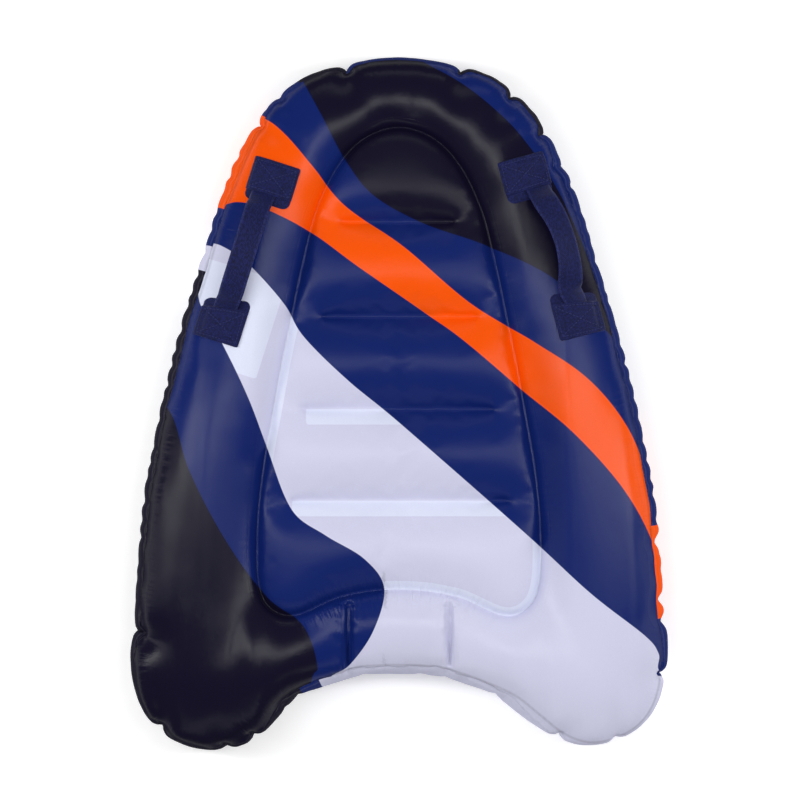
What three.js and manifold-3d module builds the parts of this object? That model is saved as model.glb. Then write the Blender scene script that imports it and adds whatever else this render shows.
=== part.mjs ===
// Inflatable bodyboard for children: a welded fabric hull with an air-filled ring tube, a quilted
// centre pad, two webbing grab handles and a screw-in air valve on the underside.
// Millimetres. +X is the rider's right, +Y is the nose, +Z is up; the board lies on Z = 0.

import * as THREE from 'three';
import { mergeVertices } from 'three/addons/utils/BufferGeometryUtils.js';
import Module from 'manifold-3d';

// ---- driving dimensions ------------------------------------------------------------------------

const FABRIC = 1.0;          // coated fabric, with its weld lap
const GAP = 0.3;             // between pieces that touch
const MID_HEIGHT = 66;       // height of the board's middle plane above what it lies on
const SEAM_HALF = 36;        // the side wall's seams stand this far above and below the middle plane
const SIDE_BULGE = 12;       // the side wall swells this far outside its seams
const WELD_HALF = 38;        // half height of the baffles, so of the board along every weld
const WELD_STRIP = 12;       // width of the flat weld along the ring baffle
const PAD_SWELL_TOP = 14;    // the pad's crests above its welds
const PAD_SWELL_BOTTOM = 11;
const SPINE_TOP = 268;       // the pad's middle line, where its two halves meet
const SPINE_BOTTOM = -168;
const CROSS_WELDS = [220.5, 105.4, -7.4, -118.8];
const TIE_X = 62;            // the two ties across the tail tube

// Half of the plan, nose to tail: silhouette point, ring weld point, height of the tube's crown
// above the middle plane. The other half mirrors it.
const SPOKES = [
  [[0, 425], [0, 336], 58],
  [[69, 415], [34, 327], 59],
  [[125, 395], [61, 306], 62],
  [[172, 349], [82, 276], 65],
  [[204, 284], [96, 246], 68],
  [[227, 222], [105, CROSS_WELDS[0]], 69],
  [[245, 160], [119, 163], 69],
  [[263, 105], [131, CROSS_WELDS[1]], 69],
  [[278, 50], [143, 48], 69],
  [[293, -7], [153, CROSS_WELDS[2]], 69],
  [[305, -65], [163, -63], 69],
  [[315, -122], [170, CROSS_WELDS[3]], 69],
  [[322, -190], [173, -168], 69],
  [[328, -262], [172, -212], 69],
  [[332, -322], [164, -241], 69],
  [[318, -376], [147, -256], 69],
  [[285, -411], [129, -259], 69],
  [[238, -425], [112, -254], 69],
  [[192, -411], [93, -245], 68],
  [[135, -366], [77, -238], 64],
  [[TIE_X, -337], [TIE_X, -234], 50],
  [[34, -332], [34, -229], 60],
  [[0, -331], [0, -227], 60],
];
const STEPS_PER_SPOKE = 2;
const TUBE_ROWS = 7;
const PAD_ROWS = 3;
const WALL_ROWS = 4;

const HANDLE_FRONT = new THREE.Vector2(156, 278);   // middle of the front patch, on the right side
const HANDLE_REAR = new THREE.Vector2(217, 107);
const PATCH_WIDTH = 50;
const PATCH_LENGTH = 48;
const PATCH_CLOTH = 1.2;
const WEBBING_WIDTH = 30;
const WEBBING = 2.4;
const PIVOT_BEYOND_PATCH = 10;
const PIVOT_HEIGHT = 14;     // of the strap's swing axis above the fabric
const STRAP_RISE = 14;       // of the strap's middle above that axis

const VALVE_Y = 49;          // on the pad's middle line, halfway between two cross welds
const VALVE_BORE = 14;
const VALVE_HOLE = 16.2;

// ---- materials ---------------------------------------------------------------------------------

const cloth = (color) => new THREE.MeshStandardMaterial({ color, roughness: 0.45, metalness: 0 });
const materials = {
  topFabric: cloth(0x18216a),
  wallFabric: cloth(0x151c58),
  bottomFabric: cloth(0x161e5e),
  baffleFabric: cloth(0xd8d8e4),
  webbing: new THREE.MeshStandardMaterial({ color: 0x1b2358, roughness: 0.8, metalness: 0 }),
  valvePlastic: new THREE.MeshStandardMaterial({ color: 0xd5d8dc, roughness: 0.4, metalness: 0 }),
  valveCap: new THREE.MeshStandardMaterial({ color: 0x1c2760, roughness: 0.4, metalness: 0 }),
  silicone: new THREE.MeshStandardMaterial({ color: 0xb9bcc2, roughness: 0.6, metalness: 0 }),
};

// ---- mesh helpers ------------------------------------------------------------------------------

const board = new THREE.Group();

function addPiece(name, geometry, material, parent = board) {
  const piece = new THREE.Mesh(geometry, material);
  piece.name = name;
  parent.add(piece);
  return piece;
}

// A geometry from corner points and quads or triangles; equal points are joined and the
// triangles that this flattens are dropped.
function surfaceFrom(points, faces) {
  const raw = new THREE.BufferGeometry();
  raw.setAttribute('position', new THREE.Float32BufferAttribute(points.flatMap((p) => p.toArray()), 3));
  raw.setIndex(faces.flatMap(([a, b, c, d]) => (d === undefined ? [a, b, c] : [a, b, c, a, c, d])));
  const joined = mergeVertices(raw, 1e-3);
  const corners = joined.index.array;
  const kept = [];
  for (let i = 0; i < corners.length; i += 3) {
    const [a, b, c] = [corners[i], corners[i + 1], corners[i + 2]];
    if (a !== b && b !== c && c !== a) kept.push(a, b, c);
  }
  joined.setIndex(kept);
  joined.computeVertexNormals();
  return joined;
}

const wasm = await Module();
wasm.setup();

function toSolid(geometry) {
  const bare = geometry.clone();
  bare.deleteAttribute('normal');
  bare.deleteAttribute('uv');
  const merged = mergeVertices(bare, 1e-4);
  return new wasm.Manifold(new wasm.Mesh({
    numProp: 3,
    vertProperties: new Float32Array(merged.attributes.position.array),
    triVerts: new Uint32Array(merged.index.array),
  }));
}

function fromSolid(solid) {
  const mesh = solid.getMesh();
  const geometry = new THREE.BufferGeometry();
  geometry.setAttribute('position', new THREE.Float32BufferAttribute(mesh.vertProperties, 3));
  geometry.setIndex(Array.from(mesh.triVerts));
  geometry.computeVertexNormals();
  return geometry;
}

// A round piece about its own Z axis, from a closed profile of [radius, height] points.
function turned(profile, segments = 24) {
  const geometry = new THREE.LatheGeometry(profile.map(([r, z]) => new THREE.Vector2(r, z)), segments);
  return geometry.rotateX(Math.PI / 2);
}

// ---- plan of the hull --------------------------------------------------------------------------

const half = SPOKES.map(([outer, ring, crown]) => ({ outer, ring, crown }));
const otherHalf = half.slice(1, -1).reverse().map(({ outer, ring, crown }) => ({
  outer: [-outer[0], outer[1]],
  ring: [-ring[0], ring[1]],
  crown,
}));
const spokes = [...half, ...otherHalf];
const STATIONS = spokes.length * STEPS_PER_SPOKE;

function closedCurve(pointOf) {
  const curve = new THREE.CatmullRomCurve3(spokes.map(pointOf), true, 'catmullrom', 0.5);
  return Array.from({ length: STATIONS }, (_, i) => curve.getPoint(i / STATIONS));
}

const silhouette = closedCurve(({ outer }) => new THREE.Vector3(outer[0], outer[1], 0));
const ringLine = closedCurve(({ ring, crown }) => new THREE.Vector3(ring[0], ring[1], crown));

const nextOf = (i) => (i + 1) % STATIONS;
const previousOf = (i) => (i + STATIONS - 1) % STATIONS;

// The plan runs clockwise seen from above, so outward is to the left of the way it runs.
function outwardAt(line, i) {
  const along = line[nextOf(i)].clone().sub(line[previousOf(i)]).setZ(0).normalize();
  return new THREE.Vector3(-along.y, along.x, 0);
}

const silhouetteOut = silhouette.map((_, i) => outwardAt(silhouette, i));
const ringOut = ringLine.map((_, i) => outwardAt(ringLine, i));
const flat = (point) => point.clone().setZ(0);
const seam = silhouette.map((p, i) => flat(p).addScaledVector(silhouetteOut[i], -SIDE_BULGE));
const stripOuter = ringLine.map((p, i) => flat(p).addScaledVector(ringOut[i], WELD_STRIP / 2));
const stripInner = ringLine.map((p, i) => flat(p).addScaledVector(ringOut[i], -WELD_STRIP / 2));

// How far the pad swells along its length: nothing on a cross weld, full between two of them.
function padFullness(y) {
  const ends = [SPINE_TOP, SPINE_BOTTOM];
  const [first, last] = [CROSS_WELDS[0], CROSS_WELDS.at(-1)];
  if (y >= first) return Math.sin((Math.PI / 2) * ((y - first) / (ends[0] - first)));
  if (y <= last) return Math.sin((Math.PI / 2) * ((last - y) / (last - ends[1])));
  const below = CROSS_WELDS.findIndex((weld) => weld < y);
  const bay = CROSS_WELDS[below - 1] - CROSS_WELDS[below];
  return Math.max(0, Math.sin(Math.PI * ((y - CROSS_WELDS[below]) / bay))) ** 0.7;
}

// One panel's outer face as rows of points, from the outer seam in to the pad's middle line;
// heights are above the middle plane.
function panelRows(padSwell, highest) {
  const rows = [];
  for (let k = 0; k <= TUBE_ROWS; k += 1) {
    const angle = (Math.PI * k) / TUBE_ROWS;
    const across = (1 - Math.cos(angle)) / 2;
    rows.push(seam.map((start, i) => {
      const point = start.clone().lerp(stripOuter[i], across);
      const base = SEAM_HALF + GAP + (WELD_HALF - SEAM_HALF - GAP) * across;
      const crown = ringLine[i].z;
      return point.setZ(Math.min(base + (crown - base) * Math.sin(angle), highest));
    }));
  }
  rows.push(stripInner.map((point) => point.clone().setZ(WELD_HALF)));
  for (let k = 1; k <= PAD_ROWS; k += 1) {
    const inward = k / PAD_ROWS;
    rows.push(stripInner.map((start, i) => {
      const spineY = THREE.MathUtils.clamp(ringLine[i].y, SPINE_BOTTOM, SPINE_TOP);
      const point = start.clone().lerp(new THREE.Vector3(0, spineY, 0), inward);
      const swell = padSwell * padFullness(spineY) * Math.sin((Math.PI / 2) * inward);
      return point.setZ(WELD_HALF + swell);
    }));
  }
  return rows;
}

// The same rows moved one fabric thickness into the board.
function insideOf(rows) {
  const last = rows.length - 1;
  return rows.map((row, r) => row.map((point, i) => {
    if (r === 0) return point.clone().addScaledVector(silhouetteOut[i], -FABRIC);
    if (r === last) return point.clone().setZ(point.z - FABRIC);
    const around = row[nextOf(i)].clone().sub(row[previousOf(i)]);
    const inward = rows[r + 1][i].clone().sub(rows[r - 1][i]);
    const normal = inward.cross(around).normalize();
    if (normal.z < 0) normal.negate();
    return point.clone().addScaledVector(normal, -FABRIC);
  }));
}

// A closed shell between two sets of rows. The first row is open fabric edge; with `edgeLast`
// the last row is one too, and without it the last row closes on itself along the pad's middle.
function shell(outer, inner, edgeLast) {
  const rowCount = outer.length;
  const points = [...outer.flat(), ...inner.flat()];
  const at = (layer, r, i) => (layer * rowCount + r) * STATIONS + i;
  const faces = [];
  for (let i = 0; i < STATIONS; i += 1) {
    const j = nextOf(i);
    for (let r = 0; r + 1 < rowCount; r += 1) {
      faces.push([at(0, r, i), at(0, r, j), at(0, r + 1, j), at(0, r + 1, i)]);
      faces.push([at(1, r, j), at(1, r, i), at(1, r + 1, i), at(1, r + 1, j)]);
    }
    faces.push([at(0, 0, j), at(0, 0, i), at(1, 0, i), at(1, 0, j)]);
    if (edgeLast) {
      const r = rowCount - 1;
      faces.push([at(0, r, i), at(0, r, j), at(1, r, j), at(1, r, i)]);
    }
  }
  return surfaceFrom(points, faces);
}

const turnOver = (rows) => rows.map((row) => row.map((p) => new THREE.Vector3(p.x, p.y, -p.z)));
const flipFaces = (geometry) => {
  const corners = geometry.index.array;
  for (let i = 0; i < corners.length; i += 3) {
    [corners[i + 1], corners[i + 2]] = [corners[i + 2], corners[i + 1]];
  }
  geometry.computeVertexNormals();
  return geometry;
};
const raise = (geometry) => geometry.translate(0, 0, MID_HEIGHT);

// ---- hull fabric -------------------------------------------------------------------------------

const topRows = panelRows(PAD_SWELL_TOP, Infinity);
const topPanel = addPiece('top_panel', raise(flipFaces(shell(topRows, insideOf(topRows), false))),
  materials.topFabric);

// The underside lies flat where the two side tubes rest.
const bottomRows = panelRows(PAD_SWELL_BOTTOM, MID_HEIGHT);
const bottomShell = raise(shell(turnOver(bottomRows), turnOver(insideOf(bottomRows)), false));
const valveHole = new THREE.CylinderGeometry(VALVE_HOLE, VALVE_HOLE, 30, 32).rotateX(Math.PI / 2);
const padFloor = MID_HEIGHT - WELD_HALF - PAD_SWELL_BOTTOM;
valveHole.translate(0, VALVE_Y, padFloor);
addPiece('bottom_panel', fromSolid(toSolid(bottomShell).subtract(toSolid(valveHole))),
  materials.bottomFabric);

function wallRows(inset) {
  return Array.from({ length: WALL_ROWS + 1 }, (_, k) => {
    const angle = Math.PI * (k / WALL_ROWS);
    const bulge = SIDE_BULGE * Math.sin(angle) - inset;
    const height = SEAM_HALF * Math.cos(angle);
    return seam.map((p, i) => p.clone().addScaledVector(silhouetteOut[i], bulge).setZ(height));
  });
}
addPiece('side_wall', raise(shell(wallRows(0), wallRows(FABRIC), true)), materials.wallFabric);

// ---- baffles inside the hull -------------------------------------------------------------------

const BAFFLE_HALF = WELD_HALF - FABRIC - 2 * GAP;
const AIR_HOLE = 9;

function ringBaffle() {
  const outer = [-BAFFLE_HALF, BAFFLE_HALF].map((z) => ringLine.map((p, i) => flat(p)
    .addScaledVector(ringOut[i], FABRIC / 2).setZ(-z)));
  const inner = [-BAFFLE_HALF, BAFFLE_HALF].map((z) => ringLine.map((p, i) => flat(p)
    .addScaledVector(ringOut[i], -FABRIC / 2).setZ(-z)));
  const holes = new THREE.CylinderGeometry(AIR_HOLE, AIR_HOLE, 500, 16).rotateZ(Math.PI / 2);
  const bays = [CROSS_WELDS[0] - 56, CROSS_WELDS[2] - 56];
  let solid = toSolid(shell(outer, inner, true));
  for (const y of bays) solid = solid.subtract(toSolid(holes.clone().translate(0, y, 0)));
  return raise(fromSolid(solid));
}
addPiece('ring_baffle', ringBaffle(), materials.baffleFabric);

// Each cross baffle stops short of the ring, so air passes round its ends.
const CROSS_END_GAP = 24;
CROSS_WELDS.forEach((y, index) => {
  const reach = 2 * (half.find(({ ring }) => ring[1] === y).ring[0] - CROSS_END_GAP);
  const strip = new THREE.BoxGeometry(reach, FABRIC, 2 * BAFFLE_HALF, 4, 1, 1);
  addPiece(`cross_baffle_${index + 1}`, raise(strip.translate(0, y, 0)), materials.baffleFabric);
});

// A tie holds the tail tube in where its fabric is tucked.
function tailTie(side) {
  const tuck = half.find(({ outer }) => outer[0] === TIE_X);
  const front = tuck.ring[1] - WELD_STRIP;
  const rear = tuck.outer[1] + SIDE_BULGE + 14;
  const middle = (front + rear) / 2;
  const top = BAFFLE_HALF + 4;
  const outline = new THREE.Shape();
  outline.moveTo(rear, -BAFFLE_HALF);
  outline.quadraticCurveTo(middle, -top, front, -BAFFLE_HALF);
  outline.lineTo(front, BAFFLE_HALF);
  outline.quadraticCurveTo(middle, top, rear, BAFFLE_HALF);
  outline.closePath();
  const sheet = new THREE.ExtrudeGeometry(outline, { depth: FABRIC, bevelEnabled: false, curveSegments: 6 });
  sheet.translate(0, 0, -FABRIC / 2);
  // outline's first axis to +Y, its second to +Z, its depth to +X
  sheet.applyMatrix4(new THREE.Matrix4().makeBasis(
    new THREE.Vector3(0, 1, 0), new THREE.Vector3(0, 0, 1), new THREE.Vector3(1, 0, 0)));
  return raise(sheet.translate(side * TIE_X, 0, 0));
}
addPiece('tail_tie_left', tailTie(-1), materials.baffleFabric);
addPiece('tail_tie_right', tailTie(1), materials.baffleFabric);

// ---- grab handles ------------------------------------------------------------------------------

const probe = new THREE.Raycaster();
topPanel.updateMatrixWorld(true);

function fabricHeight(x, y) {
  probe.set(new THREE.Vector3(x, y, 400), new THREE.Vector3(0, 0, -1));
  return probe.intersectObject(topPanel)[0].point.z;
}

// A strip of cloth lying on the top panel: `middle` and `along` place it in plan, and
// `lift(u)` is its underside's height above the fabric, with u from 0 to 1 along its length.
function drapedStrip({ middle, along, width, length, thickness, lift, steps = [6, 5] }) {
  const across = new THREE.Vector2(-along.y, along.x);
  const layers = [0, thickness].map((rise) => {
    const rows = [];
    for (let r = 0; r <= steps[0]; r += 1) {
      const u = r / steps[0];
      for (let c = 0; c <= steps[1]; c += 1) {
        const plan = middle.clone().addScaledVector(along, (u - 0.5) * length)
          .addScaledVector(across, (c / steps[1] - 0.5) * width);
        rows.push(new THREE.Vector3(plan.x, plan.y, fabricHeight(plan.x, plan.y) + lift(u) + rise));
      }
    }
    return rows;
  });
  const columns = steps[1] + 1;
  const at = (layer, r, c) => layer * columns * (steps[0] + 1) + r * columns + c;
  const faces = [];
  for (let r = 0; r < steps[0]; r += 1) {
    for (let c = 0; c < steps[1]; c += 1) {
      faces.push([at(1, r, c), at(1, r + 1, c), at(1, r + 1, c + 1), at(1, r, c + 1)]);
      faces.push([at(0, r, c + 1), at(0, r + 1, c + 1), at(0, r + 1, c), at(0, r, c)]);
    }
    faces.push([at(0, r, 0), at(0, r + 1, 0), at(1, r + 1, 0), at(1, r, 0)]);
    faces.push([at(1, r, steps[1]), at(1, r + 1, steps[1]), at(0, r + 1, steps[1]), at(0, r, steps[1])]);
  }
  for (let c = 0; c < steps[1]; c += 1) {
    faces.push([at(0, 0, c + 1), at(0, 0, c), at(1, 0, c), at(1, 0, c + 1)]);
    faces.push([at(0, steps[0], c), at(0, steps[0], c + 1), at(1, steps[0], c + 1), at(1, steps[0], c)]);
  }
  return surfaceFrom(layers.flat(), faces);
}

// A flat webbing strip that arches from one point to another.
function archedStrap(from, to, rise, width, thickness, steps = 12) {
  const chord = to.clone().sub(from);
  const across = chord.clone().cross(new THREE.Vector3(0, 0, 1)).normalize();
  const up = across.clone().cross(chord).normalize();
  const points = [];
  for (let k = 0; k <= steps; k += 1) {
    const u = k / steps;
    const centre = from.clone().addScaledVector(chord, u)
      .addScaledVector(up, rise * Math.sin(Math.PI * u));
    for (const [side, level] of [[-1, -1], [1, -1], [1, 1], [-1, 1]]) {
      points.push(centre.clone().addScaledVector(across, (side * width) / 2)
        .addScaledVector(up, (level * thickness) / 2));
    }
  }
  const faces = [[0, 1, 2, 3]];
  for (let k = 0; k < steps; k += 1) {
    for (let edge = 0; edge < 4; edge += 1) {
      const [a, b] = [4 * k + edge, 4 * k + ((edge + 1) % 4)];
      faces.push([a, a + 4, b + 4, b]);
    }
  }
  const end = 4 * steps;
  faces.push([end + 3, end + 2, end + 1, end]);
  return surfaceFrom(points, faces);
}

const FACET_GAP = 0.5;       // between layers whose facets differ
const BASE_LIFT = 1.5;       // clear of the panel's facets
const WEB_LIFT = BASE_LIFT + PATCH_CLOTH + FACET_GAP;
const COVER_LIFT = WEB_LIFT + WEBBING + FACET_GAP;
const BACKING_DEPTH = 2.6;   // of the inner patch's upper face below the fabric

function handle(name, side) {
  const front = new THREE.Vector2(side * HANDLE_FRONT.x, HANDLE_FRONT.y);
  const rear = new THREE.Vector2(side * HANDLE_REAR.x, HANDLE_REAR.y);
  const pivots = [];
  for (const [end, middle, other] of [['front', front, rear], ['rear', rear, front]]) {
    const along = other.clone().sub(middle).normalize();
    const patch = { middle, along, width: PATCH_WIDTH, length: PATCH_LENGTH, thickness: PATCH_CLOTH };
    addPiece(`${name}_${end}_backing`, drapedStrip({ ...patch, width: PATCH_WIDTH - 8,
      lift: () => -BACKING_DEPTH - PATCH_CLOTH }), materials.baffleFabric);
    addPiece(`${name}_${end}_base`, drapedStrip({ ...patch, lift: () => BASE_LIFT }), materials.webbing);
    addPiece(`${name}_${end}_patch`, drapedStrip({ ...patch, lift: () => COVER_LIFT }), materials.webbing);

    // The fixed end of the webbing: flat under the patch, then up to the strap's swing axis.
    const reach = PATCH_LENGTH / 2 + PIVOT_BEYOND_PATCH;
    const flatPart = (PATCH_LENGTH / 2) / reach;
    const rise = (u) => THREE.MathUtils.smoothstep(u, flatPart, 1) * (PIVOT_HEIGHT - WEB_LIFT);
    const tail = { along, width: WEBBING_WIDTH, length: reach, thickness: WEBBING,
      middle: middle.clone().addScaledVector(along, reach / 2), lift: (u) => WEB_LIFT + rise(u),
      steps: [10, 3] };
    addPiece(`${name}_${end}_web_end`, drapedStrip(tail), materials.webbing);

    const pivot = middle.clone().addScaledVector(along, reach);
    const height = fabricHeight(pivot.x, pivot.y) + PIVOT_HEIGHT + WEBBING / 2;
    pivots.push(new THREE.Vector3(pivot.x, pivot.y, height));
  }
  const inward = pivots[1].clone().sub(pivots[0]).normalize();
  const [from, to] = [pivots[0].addScaledVector(inward, 4 * GAP), pivots[1].addScaledVector(inward, -4 * GAP)];
  addPiece(`${name}_strap`, archedStrap(from, to, STRAP_RISE, WEBBING_WIDTH, WEBBING), materials.webbing);
}
handle('left', -1);
handle('right', 1);

// ---- air valve ---------------------------------------------------------------------------------
// Heights here are from the pad's lowest fabric, with + into the board.

const valve = new THREE.Group();
valve.position.set(0, VALVE_Y, padFloor);
board.add(valve);

const FLANGE = { radius: 22, low: -2.4, high: -GAP };
const NECK_RADIUS = VALVE_HOLE - 0.5;
const NECK_TOP = 14;
const GASKET = { low: FLANGE.low - GAP - 1.2, high: FLANGE.low - GAP };
const HEAD = { radius: 18, low: GASKET.low - GAP - 2.4, high: GASKET.low - GAP };
const INSERT_RADIUS = VALVE_BORE - 0.4;
const INSERT_BORE = 11;
const SEAT = { low: 10, high: 12 };
const STEM_HOLE = 2;
const CAP = { radius: 17, low: HEAD.low - GAP - 2.4, high: HEAD.low - GAP };
const PLUG_DEPTH = 5;

addPiece('valve_base', turned([
  [VALVE_BORE, FLANGE.low], [FLANGE.radius, FLANGE.low], [FLANGE.radius, FLANGE.low + 1.2],
  [FLANGE.radius - 1, FLANGE.high], [NECK_RADIUS, FLANGE.high], [NECK_RADIUS, NECK_TOP],
  [VALVE_BORE, NECK_TOP], [VALVE_BORE, FLANGE.low],
]), materials.valvePlastic, valve);

addPiece('valve_gasket', turned([
  [INSERT_RADIUS + GAP, GASKET.low], [HEAD.radius - 1, GASKET.low], [HEAD.radius - 1, GASKET.high],
  [INSERT_RADIUS + GAP, GASKET.high], [INSERT_RADIUS + GAP, GASKET.low],
]), materials.silicone, valve);

function valveInsert() {
  const body = turned([
    [INSERT_BORE, HEAD.low], [HEAD.radius - 0.8, HEAD.low], [HEAD.radius, HEAD.low + 0.8],
    [HEAD.radius, HEAD.high], [INSERT_RADIUS, HEAD.high], [INSERT_RADIUS, SEAT.high],
    [STEM_HOLE, SEAT.high], [STEM_HOLE, SEAT.low], [INSERT_BORE, SEAT.low], [INSERT_BORE, HEAD.low],
  ]);
  const vent = new THREE.CylinderGeometry(2.2, 2.2, 10, 12).rotateX(Math.PI / 2);
  const ventCircle = 6.6;
  let solid = toSolid(body);
  for (let k = 0; k < 6; k += 1) {
    const turn = (k * Math.PI) / 3;
    const hole = vent.clone().translate(ventCircle * Math.cos(turn), ventCircle * Math.sin(turn), SEAT.low);
    solid = solid.subtract(toSolid(hole));
  }
  return fromSolid(solid);
}
addPiece('valve_insert', valveInsert(), materials.valvePlastic, valve);

// The flap's stem hangs through the seat; its bead stops the flap after it has lifted.
const FLAP = { radius: 10, low: SEAT.high + GAP, high: SEAT.high + GAP + 1 };
const STEM_RADIUS = 1.6;
const BEAD = { radius: 3, low: 4.6, high: 6 };
addPiece('valve_flap', turned([
  [0, BEAD.low], [BEAD.radius, BEAD.low], [BEAD.radius, BEAD.high], [STEM_RADIUS, BEAD.high],
  [STEM_RADIUS, FLAP.low], [FLAP.radius, FLAP.low], [FLAP.radius, FLAP.high], [0, FLAP.high],
]), materials.silicone, valve);

function valveCap() {
  const disc = turned([
    [0, CAP.low], [CAP.radius - 1, CAP.low], [CAP.radius, CAP.low + 1], [CAP.radius, CAP.high], [0, CAP.high],
  ]);
  const plug = turned([
    [0, CAP.low + 1], [INSERT_BORE - 0.5, CAP.low + 1], [INSERT_BORE - 0.5, CAP.high + PLUG_DEPTH],
    [INSERT_BORE - 2, CAP.high + PLUG_DEPTH], [INSERT_BORE - 2, CAP.high], [0, CAP.high],
  ]);
  const tab = new THREE.BoxGeometry(12, 9, 1.6).translate(-CAP.radius - 3, 0, CAP.high - 0.8);
  return fromSolid(toSolid(disc).add(toSolid(plug)).add(toSolid(tab)));
}
addPiece('valve_cap', valveCap(), materials.valveCap, valve);

// A short strap from the insert's head to the cap keeps them together.
function capTether() {
  const outside = HEAD.radius + 7;
  const outline = new THREE.Shape();
  outline.moveTo(HEAD.radius + GAP, HEAD.high);
  outline.lineTo(outside, HEAD.high);
  outline.lineTo(outside, CAP.low);
  outline.lineTo(CAP.radius + GAP, CAP.low);
  outline.lineTo(CAP.radius + GAP, CAP.low + 1.2);
  outline.lineTo(outside - 1.2, CAP.low + 1.2);
  outline.lineTo(outside - 1.2, HEAD.high - 1.2);
  outline.lineTo(HEAD.radius + GAP, HEAD.high - 1.2);
  outline.closePath();
  const width = 6;
  const strap = new THREE.ExtrudeGeometry(outline, { depth: width, bevelEnabled: false });
  return strap.translate(0, 0, -width / 2).rotateX(Math.PI / 2);
}
addPiece('valve_tether', capTether(), materials.valveCap, valve);

export default board;
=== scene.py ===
"""Looks for the inflatable bodyboard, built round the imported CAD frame.

Metres. +X is the rider's right, +Y the nose, +Z up; the board lies on the floor at Z = 0.
The hull's fabric is cut flat, welded to its baffles and blown up by cloth simulation.
"""

import math

import bpy
import numpy as np
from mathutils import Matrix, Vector, noise
from mathutils.bvhtree import BVHTree
from mathutils.geometry import delaunay_2d_cdt
from mathutils.kdtree import KDTree


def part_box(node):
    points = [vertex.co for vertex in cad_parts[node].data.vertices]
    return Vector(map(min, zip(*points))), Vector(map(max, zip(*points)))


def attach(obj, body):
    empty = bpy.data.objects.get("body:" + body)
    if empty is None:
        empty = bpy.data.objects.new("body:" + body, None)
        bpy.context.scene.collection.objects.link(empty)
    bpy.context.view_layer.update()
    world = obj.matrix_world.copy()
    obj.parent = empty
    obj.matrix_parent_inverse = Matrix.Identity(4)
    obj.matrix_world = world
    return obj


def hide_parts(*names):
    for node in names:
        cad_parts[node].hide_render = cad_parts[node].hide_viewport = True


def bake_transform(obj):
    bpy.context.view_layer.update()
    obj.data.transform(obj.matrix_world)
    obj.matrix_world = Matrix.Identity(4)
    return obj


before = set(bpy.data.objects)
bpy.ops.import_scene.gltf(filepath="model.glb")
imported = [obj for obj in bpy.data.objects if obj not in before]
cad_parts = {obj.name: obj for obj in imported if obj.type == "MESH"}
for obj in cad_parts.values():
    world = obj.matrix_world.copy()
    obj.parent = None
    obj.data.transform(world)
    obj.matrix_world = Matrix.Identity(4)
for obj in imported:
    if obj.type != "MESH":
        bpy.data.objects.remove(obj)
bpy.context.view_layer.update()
scene = bpy.context.scene

# ---- sizes ---------------------------------------------------------------------------------------

FLANGE = 0.011               # width of a baffle's flange, welded to the fabric's inside
CLOTH = 0.0008               # the fabric's thickness
SEAM_STEP = 0.0048           # spacing of the mesh's points along the seams
MESH_STEP = 0.0076
LINE_STEP = 0.004            # spacing of the points of the other outlines
ROW = 0.0058                 # from a weld to the row of points beside it
SIM_FRAMES = 26
PRESSURE = 6.0
MID = (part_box("side_wall")[0].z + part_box("side_wall")[1].z) / 2
WELD_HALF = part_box("ring_baffle")[1].z - MID + 2 * CLOTH
SEAM_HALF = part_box("side_wall")[1].z - MID
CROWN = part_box("top_panel")[1].z - MID
PAD_RISE = 0.016             # the pad's crests above its welds
PAD_EDGE = 0.040             # over which the pad rises from the ring's weld
WALL_BULGE = 0.010
WELD_SHORT = 0.016           # the cross baffles are welded to this far from their ends
TIE_X = (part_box("tail_tie_right")[0].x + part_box("tail_tie_right")[1].x) / 2
TIE_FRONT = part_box("tail_tie_right")[1].y
TUCK_DEPTH = 0.006           # how far a tie holds the tail tube down
TUCK_WIDTH = 0.007
TIE_FOLD = 0.0024            # half the width of the sharp fold over a tie
VALVE_LOW, VALVE_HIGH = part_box("valve_base")
VALVE = np.array([(VALVE_LOW.x + VALVE_HIGH.x) / 2, (VALVE_LOW.y + VALVE_HIGH.y) / 2])
PAD_FLOOR = VALVE_LOW.z + 0.0024     # the underside's fabric, which the valve's flange is welded on
VALVE_HOLE = 0.0163
VALVE_WELD = 0.024           # the fabric is flat to this far from the valve's middle
rng = np.random.default_rng(11)


# ---- lines and fields in plan --------------------------------------------------------------------

def curve_through(points, closed, step):
    """A Catmull-Rom curve through the points, as points about `step` apart."""
    points = np.array(points, float)
    count = len(points)
    fine = []
    for k in range(count if closed else count - 1):
        numbers = np.arange(k - 1, k + 3)
        a, b, c, d = points[numbers % count if closed else np.clip(numbers, 0, count - 1)]
        for t in np.linspace(0, 1, max(2, round(np.linalg.norm(c - b) / step)), endpoint=False):
            fine.append(0.5 * (2 * b + (c - a) * t + (2 * a - 5 * b + 4 * c - d) * t * t
                               + (3 * b - a - 3 * c + d) * t ** 3))
    if not closed:
        fine.append(points[-1])
    return np.array(fine)


def even_loop(points, step):
    """The closed loop again, with its points the same distance apart."""
    lengths = np.linalg.norm(np.roll(points, -1, 0) - points, axis=1)
    along = np.concatenate([[0], np.cumsum(lengths)])
    count = round(along[-1] / step)
    at = np.arange(count) * along[-1] / count
    closed = np.vstack([points, points[:1]])
    return np.stack([np.interp(at, along, closed[:, k]) for k in range(2)], 1)


def smooth_loop(points, step):
    return even_loop(curve_through(points, True, 0.002), step)


def outward(loop):
    """Unit normals of a clockwise loop."""
    along = np.roll(loop, -1, 0) - np.roll(loop, 1, 0)
    along /= np.linalg.norm(along, axis=1)[:, None]
    return np.stack([-along[:, 1], along[:, 0]], 1)


def arc_length(loop):
    """How far along the closed loop each of its points is, and its whole length."""
    lengths = np.linalg.norm(np.roll(loop, -1, 0) - loop, axis=1)
    return np.cumsum(lengths) - lengths, lengths.sum()


def plan_tree(points):
    """A search tree of points in plan."""
    tree = KDTree(len(points))
    for k, (x, y) in enumerate(points):
        tree.insert((x, y, 0), k)
    tree.balance()
    return tree


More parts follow.
